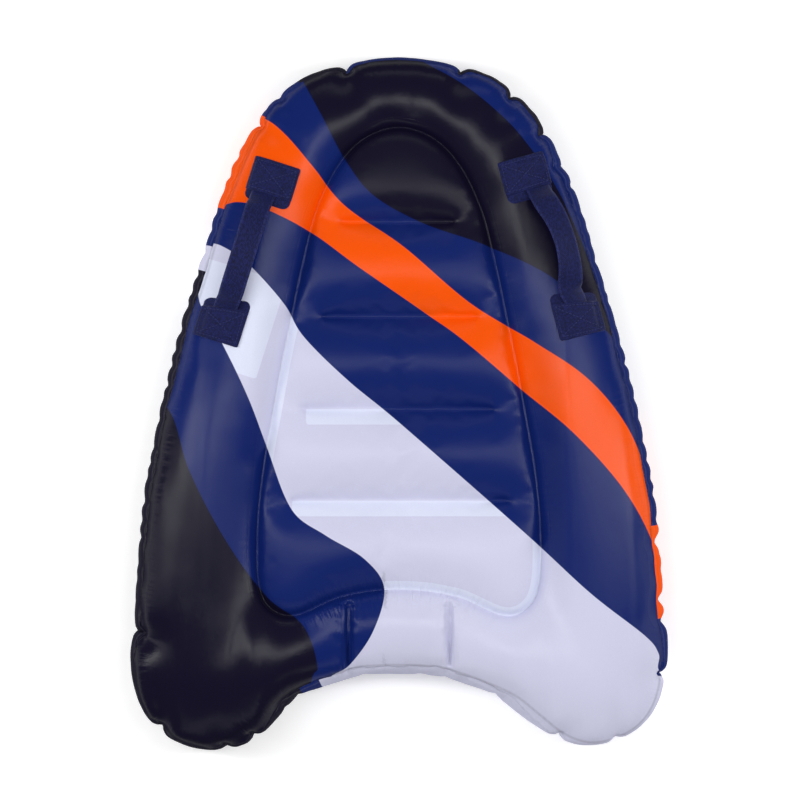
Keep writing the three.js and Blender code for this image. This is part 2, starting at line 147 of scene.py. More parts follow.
def nearest(points, line):
    """The number of the line's nearest point to each point."""
    tree = plan_tree(line)
    return np.array([tree.find((x, y, 0))[1] for x, y in points])


def inside(points, loop):
    x, y = points[:, 0], points[:, 1]
    result = np.zeros(len(points), bool)
    for (x1, y1), (x2, y2) in zip(loop, np.roll(loop, -1, 0)):
        crosses = (y1 > y) != (y2 > y)
        if crosses.any():
            at = (x2 - x1) * (y - y1) / ((y2 - y1) or 1e-12) + x1
            result ^= crosses & (x < at)
    return result


def project(points, loop):
    """Each point's foot on the closed loop, its distance from it, and how far along the loop that is."""
    number = nearest(points, loop)
    starts = arc_length(loop)[0]
    best = np.full((len(points), 4), np.inf)
    for shift in (-1, 0):
        first = (number + shift) % len(loop)
        run = loop[(first + 1) % len(loop)] - loop[first]
        length = np.maximum(np.linalg.norm(run, axis=1), 1e-9)
        share = np.clip(((points - loop[first]) * run).sum(1) / length ** 2, 0, 1)
        foot = loop[first] + run * share[:, None]
        gap = np.linalg.norm(points - foot, axis=1)
        found = np.column_stack([foot, gap, starts[first] + length * share])
        best = np.where((gap < best[:, 2])[:, None], found, best)
    return best[:, :2], best[:, 2], best[:, 3]


def depth_inside(points, loop):
    """How far each point lies inside the closed loop; negative outside it."""
    gap = project(points, loop)[1]
    return np.where(inside(points, loop), gap, -gap)


def smoothstep(value, low, high):
    share = np.clip((value - low) / (high - low), 0, 1)
    return share * share * (3 - 2 * share)


def bell(distance, width):
    """1 on the line and next to nothing two widths away from it."""
    return np.exp(-(distance / width) ** 2)


def from_tie(plan):
    """Each point's distance from the nearer tail tie's line."""
    return np.abs(np.abs(plan[:, 0]) - TIE_X)


# ---- outlines taken from the frame ---------------------------------------------------------------

def cad_points(node):
    points = np.array([v.co[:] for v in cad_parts[node].data.vertices])
    return np.unique(np.round(points, 5), axis=0)


def loop_pairs(points, centre_y):
    """Points of two near loops, sorted round the board and grouped as inner and outer of each pair."""
    bearing = np.arctan2(points[:, 0], points[:, 1] - centre_y)
    plan = points[np.argsort(bearing), :2]
    if np.linalg.norm(plan[0] - plan[1]) > np.linalg.norm(plan[1] - plan[2]):
        plan = np.roll(plan, -1, 0)
    pairs = plan.reshape(-1, 2, 2)
    reach = np.linalg.norm(pairs - [0, centre_y], axis=2)
    order = np.argsort(reach, axis=1)
    return np.take_along_axis(pairs, order[:, :, None], 1)


RING_CENTRE = 0.05           # a place along Y from which the whole ring is seen
wall = cad_points("side_wall")
wall_middle = loop_pairs(wall[np.abs(wall[:, 2] - MID) < 0.001], 0)[:, 1]
silhouette = smooth_loop(wall_middle, LINE_STEP)
wall_top = loop_pairs(wall[wall[:, 2] > wall[:, 2].max() - 0.001], 0)[:, 1]
seam = smooth_loop(wall_top, SEAM_STEP)
baffle = cad_points("ring_baffle")
baffle_top = baffle[baffle[:, 2] > baffle[:, 2].max() - 0.001]
ring = smooth_loop(loop_pairs(baffle_top, RING_CENTRE).mean(1), LINE_STEP)
cross_welds = []             # (place along Y, half length) of each
for number in range(1, 5):
    low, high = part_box(f"cross_baffle_{number}")
    cross_welds.append(((low.y + high.y) / 2, high.x - WELD_SHORT))


# ---- the hull: cut, weld and inflate -------------------------------------------------------------

# Where the seams are gathered into deep puckers: place in plan and depth.
PUCKERS = [
    ((-0.066, 0.410), 0.010), ((0.077, 0.410), 0.009), ((0.142, 0.375), 0.009), ((0.178, 0.329), 0.007),
    ((0.199, 0.293), 0.005), ((-0.153, 0.377), 0.005), ((-0.167, 0.338), 0.007),
    ((-0.320, -0.285), 0.010), ((-0.289, -0.391), 0.009), ((-0.221, -0.424), 0.006),
    ((-0.190, -0.407), 0.008), ((0.318, -0.334), 0.009), ((0.270, -0.410), 0.006),
    ((0.207, -0.402), 0.008),
]
PUCKER_WIDTH = 0.006
# Where the seam stands further out than the nominal outline: place, how far, and over what length.
FULLNESS = [((-0.185, -0.408), 0.009, 0.035), ((0.250, -0.415), -0.005, 0.060)]
FOLD = 8.0                   # how hard a pucker's fold draws the hull in, for each metre of its depth
FOLD_LENGTH = 0.055
FOLD_START = 0.010           # its width at the seam
FOLD_SPREAD = 0.09           # and how much it widens with its length
TAIL_FOLD_LENGTH = 0.190     # at the tail's corners the folds run far up the tubes
TAIL_FOLDS = -0.33           # behind this along Y
TIE_DRAW = 0.15              # how much of the tube's height the sharp fold over a tie takes
IRON_ROUNDS = 5
STREAKS = 0.072              # how much the tubes' long soft creases draw them in
LET_OUT = 0.13               # the cloth that an inflated tube takes up, as a share of its width
WIDEST = 0.135               # a tube takes up no more than one of this width does
# Places along Y, or out from the middle, over which the side wall's shape changes.
TO_NOSE_BULGE, TO_NOSE_GATHERS = (0.25, 0.38), (0.30, 0.40)
TO_TAIL_BULGE, TO_TAIL_GATHERS = (0.27, 0.36), (0.16, 0.26)
TO_TAIL_LOBES = (0.10, 0.17)
GATHER_PITCH = 0.024         # of the side wall's own small puckers
GATHER_DEPTH = 0.0030
WALL_NOTCHES = [(0.317, -0.169), (0.326, -0.238), (0.330, -0.262)]     # where the wall alone is drawn in
NOTCH_DEPTH = 0.007
CAMBER = 0.25                # a full tube's rise over its seam and weld, as a share of its width
FLOOR_ROUNDING = 0.0015      # of the edges of the flats that the hull lies on


def wall_bulge(line):
    """How far the side wall stands out: less round the nose, and least at the tail's corners."""
    x, y = line.T
    ahead = smoothstep(y, *TO_NOSE_BULGE)
    behind = smoothstep(-y, *TO_TAIL_BULGE) * smoothstep(np.abs(x), *TO_TAIL_LOBES)
    return WALL_BULGE * (1 - 0.5 * ahead - 0.7 * behind)


def gather_share(line):
    """The gathers are deep along the sides and all but gone round the nose and the tail."""
    y = line[:, 1]
    return 1 - 0.75 * smoothstep(y, *TO_NOSE_GATHERS) - 0.8 * smoothstep(-y, *TO_TAIL_GATHERS)


def cut_outline():
    """The flat outline: the seam, let out by the cloth the inflated tube takes up, with its puckers."""
    chord = project(seam, ring)[1]
    spare = LET_OUT * np.minimum(chord, WIDEST) + 0.7 * (WALL_BULGE - wall_bulge(seam))
    for place, further, width in FULLNESS:
        spare += further * bell(np.linalg.norm(seam - place, axis=1), width)
    flat = seam + outward(seam) * spare[:, None]
    along, total = arc_length(flat)
    depth = np.zeros(len(flat))
    for place, deep in PUCKERS:
        here = np.argmin(np.linalg.norm(flat - place, axis=1))
        gap = (along - along[here] + total / 2) % total - total / 2
        depth = np.maximum(depth, deep * bell(gap, PUCKER_WIDTH))
    return flat - outward(flat) * depth[:, None]


def pad_height(plan):
    """How far the pad stands above its welds: nothing on a weld, most between two of them."""
    x, y = plan.T
    to_cross = np.min([np.hypot(np.maximum(np.abs(x) - reach, 0), y - middle)
                       for middle, reach in cross_welds], axis=0)
    to_ring = project(plan, ring)[1]
    bay = (cross_welds[0][0] - cross_welds[-1][0]) / 3
    lengthways = np.sqrt(np.clip(1 - (1 - 2 * to_cross / bay) ** 2, 0, 1))
    lengthways = np.where(2 * to_cross > bay, 1, lengthways)
    edge = np.clip(to_ring / PAD_EDGE, 0, 1)
    return PAD_RISE * lengthways * np.sqrt(1 - (1 - edge) ** 2)


def crown(plan, outline):
    """Lifts the flat cut to the shape that it takes when full, as heights above the middle plane."""
    foot, from_ring, _ = project(plan, ring)
    to_edge = project(plan, outline)[1]
    in_pad = inside(plan, ring)
    width = from_ring + to_edge
    share = from_ring / width
    chord = width - LET_OUT * np.minimum(width / (1 + LET_OUT), WIDEST)
    reach = chord * (1 - np.cos(np.pi * share)) / 2
    away = (plan - foot) / np.maximum(from_ring, 1e-9)[:, None]
    in_tube = ~in_pad & (from_ring > 1e-5)
    shaped = np.where(in_tube[:, None], foot + away * reach[:, None], plan)
    base = WELD_HALF + (SEAM_HALF - WELD_HALF) * share
    top = np.minimum(base + CAMBER * chord, CROWN)
    tuck = TUCK_DEPTH * bell(from_tie(shaped), TUCK_WIDTH) * (shaped[:, 1] < TIE_FRONT)
    height = np.where(in_tube, base + (top - base - tuck) * np.sin(np.pi * share), WELD_HALF)
    height = np.where(in_pad, WELD_HALF + pad_height(plan), height)
    return shaped, height


def seat_valve(plan, height):
    """The underside's heights, flat where the valve is welded in."""
    away = np.linalg.norm(plan - VALVE, axis=1)
    share = smoothstep(away, VALVE_WELD, 2 * VALVE_WELD)
    return (MID - PAD_FLOOR) * (1 - share) + height * share


def straight(start, end):
    """Points a mesh step apart from the start to the end."""
    steps = round(math.dist(start, end) / MESH_STEP) + 1
    return np.linspace(start, end, steps)


def panel_lines():
    """The cross welds' and tail ties' lines, and lines beside them that keep the mesh even there."""
    welds, rows = [], []
    for middle, reach in cross_welds:
        for beside, lines in ((0, welds), (-ROW, rows), (ROW, rows)):
            lines.append(straight((-reach, middle + beside), (reach, middle + beside)))
    tail = seam[seam[:, 1] < 0]
    front = ring[ring[:, 1] < 0]
    for middle in (-TIE_X, TIE_X):
        start = tail[np.argmin(np.abs(tail[:, 0] - middle)), 1] + ROW
        end = front[np.argmin(np.abs(front[:, 0] - middle)), 1] - 2 * ROW
        for beside, lines in ((0, welds), (-TIE_FOLD, rows), (TIE_FOLD, rows)):
            lines.append(straight((middle + beside, start), (middle + beside, end)))
    return welds, rows


TOP, WALL, BOTTOM, HOLE = range(4)   # which part of the hull a triangle belongs to


def wall_gathers(line):
    """The side wall's gathered cloth: rounded lobes between sharp valleys, along the seam."""
    along, total = arc_length(line)
    count = round(total / GATHER_PITCH)
    phase = along / total * count
    knots = np.arange(count)
    wander = np.interp(phase, knots, rng.uniform(-0.35, 0.35, count), period=count)
    deep = np.interp(phase, knots, rng.uniform(0.25, 1.0, count), period=count)
    lobe = np.abs(np.sin(np.pi * (phase + wander))) ** 0.6
    notch = np.max([bell(np.linalg.norm(line - place, axis=1), PUCKER_WIDTH)
                    for place in line[nearest(WALL_NOTCHES, line)]], axis=0)
    return GATHER_DEPTH * gather_share(line) * deep * (2 * lobe - 1) - NOTCH_DEPTH * notch


def fill_grid(outline, fixed):
    """Points of a staggered grid inside the outline, clear of the points that are already there."""
    tree = plan_tree(fixed)
    low, high = outline.min(0), outline.max(0)
    grid = []
    for row, y in enumerate(np.arange(low[1], high[1], MESH_STEP * math.sqrt(0.75))):
        shift = MESH_STEP / 2 if row % 2 else 0
        grid.extend((x + shift, y) for x in np.arange(low[0], high[0], MESH_STEP))
    grid = np.array(grid) + rng.uniform(-0.1, 0.1, (len(grid), 2)) * MESH_STEP
    grid = grid[inside(grid, outline)]
    clear = [tree.find((x, y, 0))[2] > 0.6 * MESH_STEP for x, y in grid]
    return grid[clear]


def cut_panel():
    """One flat panel: its points and triangles, which points are welded, and the seam's points in order.

    The outline comes with them."""
    outline = cut_outline()
    welds, rows = panel_lines()
    turns = np.linspace(0, 2 * np.pi, 24, endpoint=False)
    circle = VALVE + VALVE_HOLE * np.stack([np.cos(turns), np.sin(turns)], 1)
    points, edges, held = [], [], []
    beside_ring = [even_loop(ring + outward(ring) * beside, MESH_STEP) for beside in (-ROW, ROW)]
    batches = [(outline, True, False), (circle, True, False), (even_loop(ring, MESH_STEP), True, True),
               *((line, True, False) for line in beside_ring),
               *((line, False, True) for line in welds), *((line, False, False) for line in rows)]
    for line, closed, is_weld in batches:
        first = len(points)
        points.extend(line.tolist())
        held.extend([is_weld] * len(line))
        last = len(line) if closed else len(line) - 1
        edges.extend((first + k, first + (k + 1) % len(line)) for k in range(last))
    grid = fill_grid(outline, points)
    everything = [Vector(p) for p in points + grid.tolist()]
    held = held + [False] * len(grid)
    found = delaunay_2d_cdt(everything, edges, [list(range(len(outline)))], 1, 1e-7)
    plan = np.array([p[:] for p in found[0]])
    source = [ids[0] if ids else -1 for ids in found[3]]
    is_weld = np.array([k >= 0 and held[k] for k in source])
    triangles = np.array([t[:] for t in found[2]])
    a, b, c = plan[triangles[0]]
    if np.cross(b - a, c - a) < 0:
        triangles = triangles[:, ::-1]
    where = {ids: k for k, many in enumerate(found[3]) for ids in many}
    seam_ids = [where[k] for k in range(len(outline))]
    return plan, triangles, is_weld, seam_ids, outline


def cut_wall(line):
    """Rows of points down the side wall between its two seams, from the seam's line in plan."""
    stands_out = wall_bulge(line) + wall_gathers(line)
    out = outward(line)
    count = round(2 * SEAM_HALF / SEAM_STEP)
    rows = []
    for row in range(1, count):
        turn = math.pi * row / count
        bulge = stands_out * math.sin(turn)
        level = np.full(len(line), SEAM_HALF * math.cos(turn))
        rows.append(np.column_stack([line + out * bulge[:, None], level]))
    return rows


def wall_triangles(levels):
    """The triangles between closed rows of point numbers, each row under the one before."""
    faces = []
    for row, (above, below) in enumerate(zip(levels, levels[1:])):
        for k in range(len(above)):
            j = (k + 1) % len(above)
            corners = (above[k], above[j], below[j], below[k])
            split = ((0, 1, 2), (0, 2, 3)) if (k + row) % 2 else ((0, 1, 3), (1, 2, 3))
            faces.extend([corners[n] for n in t] for t in split)
    return faces


def cut_hull():
    """The two panels, lifted, and the side wall between them, as one triangle mesh.

    Returns the points, the triangles, each one's part, and which points are held while it fills."""
    plan, triangles, is_weld, seam_ids, outline = cut_panel()
    count, around = len(plan), len(seam_ids)
    plan, height = crown(plan, outline)
    upper = np.column_stack([plan, height])
    lower = np.column_stack([plan, -seat_valve(plan, height)])
    rows = cut_wall(plan[seam_ids])
    points = np.vstack([upper, lower, *rows])
    seam_numbers = np.array(seam_ids)
    row_numbers = [2 * count + row * around + np.arange(around) for row in range(len(rows))]
    wall_faces = wall_triangles([seam_numbers, *row_numbers, seam_numbers + count])
    faces = np.vstack([triangles, triangles[:, ::-1] + count, wall_faces])
    in_hole = np.linalg.norm(plan[triangles].mean(1) - VALVE, axis=1) < VALVE_HOLE
    parts = np.concatenate([np.full(len(triangles), TOP), np.where(in_hole, HOLE, BOTTOM),
                            np.full(len(wall_faces), WALL)])
    held = np.zeros(len(points), bool)
    held[:count] = is_weld
    held[count:2 * count] = is_weld | (np.linalg.norm(plan - VALVE, axis=1) < VALVE_WELD)
    return points, faces, parts, held


CLOTH_SETTINGS = {
    "quality": 5, "mass": 0.15, "air_damping": 1.0,
    "tension_stiffness": 40, "compression_stiffness": 6, "shear_stiffness": 8, "bending_stiffness": 0.03,
    "tension_damping": 5, "compression_damping": 5, "shear_damping": 5, "bending_damping": 0.5,
    "vertex_group_mass": "welds", "pin_stiffness": 1.0, "shrink_min": -0.006,
    "use_pressure": True, "uniform_pressure_force": PRESSURE,
}


def mesh_object(name, points, faces):
    """A new smooth-shaded object in the scene, from points and lists of point numbers."""
    mesh = bpy.data.meshes.new(name)
    mesh.from_pydata(np.array(points, float).tolist(), [], faces)
    mesh.shade_smooth()
    obj = bpy.data.objects.new(name, mesh)
    scene.collection.objects.link(obj)
    return obj


def inflate(points, triangles, held):
    """Blows the cut cloth up round its welds and returns where its points come to lie."""
    hull = mesh_object("hull_cut", points, triangles.tolist())
    pins = hull.vertex_groups.new(name="welds")
    pins.add(np.flatnonzero(held).tolist(), 1.0, "REPLACE")
    cloth = hull.modifiers.new("Cloth", "CLOTH")
    for name, value in CLOTH_SETTINGS.items():
        setattr(cloth.settings, name, value)
    cloth.settings.effector_weights.gravity = 0
    cloth.collision_settings.use_collision = False
    cloth.point_cache.frame_start = 1
    cloth.point_cache.frame_end = SIM_FRAMES
    for number in range(1, SIM_FRAMES + 1):
        scene.frame_set(number)
    blown = hull.evaluated_get(bpy.context.evaluated_depsgraph_get()).data
    result = np.array([v.co[:] for v in blown.vertices])
    scene.frame_set(1)
    bpy.data.objects.remove(hull)
    return result


def triangle_sides(triangles):
    """The triangles' sides as pairs of points: one side of every triangle, then the next."""
    return np.sort(np.vstack([triangles[:, [0, 1]], triangles[:, [1, 2]], triangles[:, [2, 0]]]), 1)


def iron(points, triangles, parts, held):
    """Smooths the small ripples that the simulation leaves in the tubes, round the welds and seams."""
    one, other = np.unique(triangle_sides(triangles), axis=0).T
    loose = ~held & (depth_inside(points[:, :2], ring) < 0)
    loose[triangles[parts == WALL]] = False
    loose &= (points[:, 1] > TIE_FRONT) | (from_tie(points) > 2 * TUCK_WIDTH)
    uses = np.bincount(np.concatenate([one, other]), minlength=len(points))[:, None]
    for _ in range(IRON_ROUNDS):
        total = np.zeros_like(points)
        np.add.at(total, one, points[other])
        np.add.at(total, other, points[one])
        points = np.where(loose[:, None], (points + total / uses) / 2, points)
    return points


def soft_creases(points):
    """Long creases that run fore and aft, from 0 to 1, with others above than below."""
    above, below = 4, 9      # where in the noise each is taken
    return 0.5 + np.array([noise.noise(Vector((27 * x, 2.4 * y, above if z > 0 else below)))
                           for x, y, z in points])


def tie_fold(plan):
    """The sharp fold over a tail tie and the slight ridge on each side of it."""
    ridge = 0.012 * bell(from_tie(plan) - 2 * TIE_FOLD, TIE_FOLD)
    return (TIE_DRAW * bell(from_tie(plan), TIE_FOLD) - ridge) * (plan[:, 1] < TIE_FRONT + 0.02)


def press_folds(points):
    """Draws the tubes in along the folds from the puckers, over the tail ties and along soft creases."""
    plan = points[:, :2]
    drawn = STREAKS * soft_creases(points)
    inward = -outward(seam)
    for place, deep in PUCKERS:
        if place[1] < TAIL_FOLDS:
            direction, length = np.array([0.0, 1.0]), TAIL_FOLD_LENGTH
        else:
            direction, length = inward[np.argmin(np.linalg.norm(seam - place, axis=1))], FOLD_LENGTH
        offset = plan - place
        along = np.abs(offset @ direction)
        across = offset @ np.array([direction[1], -direction[0]])
        width = FOLD_START + FOLD_SPREAD * along
        drawn += FOLD * deep * (1 - smoothstep(along, 0, length)) * bell(across, width)
    from_ring = -depth_inside(plan, ring)
    drawn *= smoothstep(from_ring, 0, 0.02)
    drawn += tie_fold(plan) * smoothstep(from_ring, 0.002, 0.014)
    return np.column_stack([plan, points[:, 2] * (1 - drawn)])


def rest_on_floor(points):
    """Lifts the hull to where it lies and flattens it softly where it would sink into the floor."""
    high = points[:, 2] + MID
    lying = (high + np.sqrt(high ** 2 + 4 * FLOOR_ROUNDING ** 2)) / 2
    return np.column_stack([points[:, :2], lying])


def subdivide(points, triangles, fixed):
    """One round of Loop subdivision: rims keep to themselves, and fixed points stay where they are."""
    edges, which, uses = np.unique(triangle_sides(triangles), axis=0, return_inverse=True,
                                   return_counts=True)
    which = which.ravel()
    wings = np.zeros((len(edges), 3))
    np.add.at(wings, which, points[np.concatenate([triangles[:, 2], triangles[:, 0], triangles[:, 1]])])
    ends = points[edges].sum(1)
    rim = uses == 1
    halved = rim | fixed[edges].all(1)
    middles = np.where(halved[:, None], ends / 2, ends * 0.375 + wings * 0.125)

    def ring_sum(chosen):
        total, number = np.zeros_like(points), np.zeros(len(points))
        for one, other in (chosen.T, chosen.T[::-1]):
            np.add.at(total, one, points[other])
            np.add.at(number, one, 1)
        return total, number

    total, number = ring_sum(edges)
    weight = np.where(number > 3, 0.375 / np.maximum(number, 1), 0.1875)[:, None]
    moved = points * (1 - weight * number[:, None]) + total * weight
    rim_total, rim_number = ring_sum(edges[rim])
    moved = np.where((rim_number > 0)[:, None], 0.75 * points + 0.125 * rim_total, moved)
    moved = np.where(fixed[:, None], points, moved)
    ab, bc, ca = (which.reshape(3, -1) + len(points))
    a, b, c = triangles.T
    split = np.vstack([np.column_stack(t) for t in ((a, ab, ca), (b, bc, ab), (c, ca, bc), (ab, bc, ca))])
    return np.vstack([moved, middles]), split


def part_of(points, triangles, parts, held, part):
    """One part of the hull on its own, subdivided once."""
    chosen = triangles[parts == part]
    used, renumbered = np.unique(chosen, return_inverse=True)
    return subdivide(points[used], renumbered.reshape(-1, 3), held[used])


def write_field(obj, name, values):
    """Keeps a number for each of the mesh's points, for its material to read."""
    field = obj.data.attributes.new(name, "FLOAT", "POINT")
    field.data.foreach_set("value", np.asarray(values, np.float32))


def settle(obj):
    """Applies the object's modifiers."""
    done = obj.evaluated_get(bpy.context.evaluated_depsgraph_get())
    mesh = bpy.data.meshes.new_from_object(done)
    obj.modifiers.clear()
    obj.data = mesh
    mesh.name = obj.name


def thicken(obj):
    """Gives the fabric its thickness, inward."""
    shell = obj.modifiers.new("thickness", "SOLIDIFY")
    shell.thickness = CLOTH
    shell.offset = -1
    settle(obj)


# ---- the print -----------------------------------------------------------------------------------

NOT_HERE = 0.1               # a depth field's value, negative, where there is none of the area
CROSS_FLANGE = 1.7 * FLANGE  # the cross baffles' flanges are wider, and all behind the weld
# Each coloured area's two edges in plan, run from the nose side to the tail side; past the board's
# outline they only close the area.
ORANGE_UPPER = [(-0.300, 0.356), (-0.205, 0.354), (-0.168, 0.348), (-0.140, 0.328), (-0.103, 0.285),
                (-0.066, 0.240), (0.004, 0.191), (0.085, 0.1225), (0.165, 0.0735), (0.2315, 0.027),
                (0.279, -0.032), (0.305, -0.098), (0.3135, -0.159), (0.330, -0.215), (0.400, -0.300)]
ORANGE_LOWER = [(-0.300, 0.230), (-0.222, 0.240), (-0.1935, 0.244), (-0.157, 0.233), (-0.105, 0.206),
                (-0.049, 0.165), (0.031, 0.110), (0.077, 0.077), (0.148, 0.017), (0.212, -0.037),
                (0.271, -0.103), (0.309, -0.170), (0.325, -0.230), (0.380, -0.380)]
WHITE_UPPER = [(-0.300, 0.205), (-0.235, 0.196), (-0.212, 0.189), (-0.181, 0.167), (-0.140, 0.121),
               (-0.116, 0.081), (-0.0625, 0.028), (0.004, -0.027), (0.152, -0.157), (0.2315, -0.230),
               (0.298, -0.282), (0.316, -0.305), (0.322, -0.331), (0.400, -0.360)]
WHITE_LOWER = [(-0.300, 0.185), (-0.250, 0.162), (-0.2455, 0.147), (-0.241, 0.119), (-0.214, 0.072),
               (-0.1825, 0.006), (-0.158, -0.061), (-0.130, -0.130), (-0.089, -0.1605), (-0.042, -0.189),
               (-0.018, -0.225), (-0.031, -0.276), (-0.060, -0.3185), (-0.094, -0.349), (-0.130, -0.470)]
NOSE_BLACK_LEFT = [(-0.150, 0.450), (-0.120, 0.397), (-0.094, 0.349), (-0.066, 0.2965), (-0.031, 0.252),
                   (0.031, 0.218), (0.1115, 0.189), (0.189, 0.1495), (0.249, 0.0905), (0.263, 0.078)]
NOSE_BLACK_RIGHT = [(0.000, 0.450), (0.029, 0.4165), (0.080, 0.386), (0.138, 0.3355), (0.184, 0.274),
                    (0.218, 0.206), (0.247, 0.131), (0.263, 0.079)]
TAIL_BLACK = [(-0.330, 0.030), (-0.279, -0.010), (-0.2535, -0.082), (-0.2095, -0.167), (-0.162, -0.234),
              (-0.116, -0.271), (-0.099, -0.320), (-0.108, -0.342), (-0.135, -0.470)]
WHITE_BEYOND = [(0.400, -0.470), (-0.130, -0.470)]
TAIL_BEYOND = [(-0.400, -0.470), (-0.400, 0.030)]

# The side wall is cut from another stretch of the print: where each colour starts, going clockwise.
WALL_PRINT = [
    ((-0.168, 0.352), "navy"), ((-0.120, 0.388), "black"), ((-0.066, 0.412), "navy"),
    ((0.074, 0.412), "black"), ((0.178, 0.329), "navy"), ((0.305, -0.150), "orange"),
    ((0.326, -0.262), "navy"), ((0.332, -0.335), "white"), ((-0.092, -0.352), "navy"),
    ((-0.115, -0.362), "black"), ((-0.245, 0.163), "white"), ((-0.236, 0.193), "navy"),
    ((-0.224, 0.240), "orange"),
]


def print_areas():
    """The coloured areas on a panel, as closed loops in plan: along one edge and back along the other."""
    def edge(points):
        return curve_through(points, False, 0.003)

    return {
        "orange": [np.vstack([edge(ORANGE_UPPER), edge(ORANGE_LOWER)[::-1]])],
        "white": [np.vstack([edge(WHITE_UPPER), WHITE_BEYOND, edge(WHITE_LOWER)[::-1]])],
        "black": [np.vstack([edge(NOSE_BLACK_LEFT), edge(NOSE_BLACK_RIGHT)[::-1]]),
                  np.vstack([edge(TAIL_BLACK), TAIL_BEYOND])],
    }


def lining_depth(plan, sides):
    """Depth inside what backs the fabric: the baffles' flanges, and the inner patches on these sides."""
    from_ring = depth_inside(plan, ring)
    depth = np.minimum(from_ring, FLANGE - from_ring)
    for middle, reach in cross_welds:
        across = np.minimum(middle - plan[:, 1], plan[:, 1] - middle + CROSS_FLANGE)
        depth = np.maximum(depth, np.minimum(across, reach - np.abs(plan[:, 0])))
    for side in sides:
        for end in ("front", "rear"):
            along = patch_place(side, end)[1]
            offset = plan - plan_middle(f"{side}_{end}_patch")
            lengthways = offset @ along
            sideways = offset @ np.array([along[1], -along[0]]) * (1 if side == "left" else -1)
            depth = np.maximum(depth, np.minimum(BACKING / 2 - np.abs(lengthways),
                                                 BACKING / 2 - np.abs(sideways - BACKING_SHIFT)))
    return depth


def write_panel_fields(obj, points, sides):
    plan = points[:, :2]
    for name, loops in print_areas().items():
        write_field(obj, name, np.max([depth_inside(plan, loop) for loop in loops], axis=0))
    write_field(obj, "weld_gap", -depth_inside(plan, ring))
    write_field(obj, "weld_along", project(plan, ring)[2])
    write_field(obj, "lining", lining_depth(plan, sides))
    near_tie = 1 - smoothstep(from_tie(plan), 0.002, 0.018)
    write_field(obj, "tie_folds", near_tie * (plan[:, 1] < TIE_FRONT))
    at_tail = smoothstep(-plan[:, 1], 0.16, 0.22) * (1 - smoothstep(np.abs(plan[:, 0]), 0.09, 0.14))
    near_weld = 1 - smoothstep(project(plan, ring)[1], 0.001, 0.028)
    write_field(obj, "weld_folds", (0.2 + 3.0 * at_tail) * near_weld)
    _, gap, along = project(plan, seam)
    write_field(obj, "seam_gap", gap)
    write_field(obj, "seam_along", along)


def write_wall_fields(obj, points):
    """The same fields for the side wall, whose colours change along it."""
    total = arc_length(silhouette)[1]
    along = project(points[:, :2], silhouette)[2]
    starts = project(np.array([place for place, _ in WALL_PRINT]), silhouette)[2]
    depths = {name: np.full(len(points), -NOT_HERE) for name in ("orange", "white", "black")}
    for k, (_, name) in enumerate(WALL_PRINT):
        if name in depths:
            start, end = starts[k], starts[(k + 1) % len(starts)]
            length = (end - start) % total
            place = (along - start + (total - length) / 2) % total - (total - length) / 2
            depths[name] = np.maximum(depths[name], np.minimum(place, length - place))
    for name, depth in depths.items():
        write_field(obj, name, depth)
    from_seam = SEAM_HALF - np.abs(points[:, 2] - MID)
    write_field(obj, "seam_gap", np.maximum(from_seam, 0))
    write_field(obj, "seam_along", along)
    for name, value in (("tie_folds", 0), ("weld_folds", 0), ("weld_gap", 1), ("weld_along", 0),
                        ("lining", -NOT_HERE)):
        write_field(obj, name, np.full(len(points), value))


# ---- materials -----------------------------------------------------------------------------------

NAVY = (0.0042, 0.0138, 0.1130)
BLACK = (0.0050, 0.0040, 0.0150)
ORANGE = (0.810, 0.080, 0.001)
WHITE = (0.548, 0.548, 0.705)
LINED_WHITE = (0.625, 0.655, 0.805)
WEBBING_NAVY = (0.0045, 0.0070, 0.0560)
THREAD_NAVY = (0.0170, 0.0220, 0.1000)
CAP_NAVY = (0.0110, 0.0190, 0.1150)


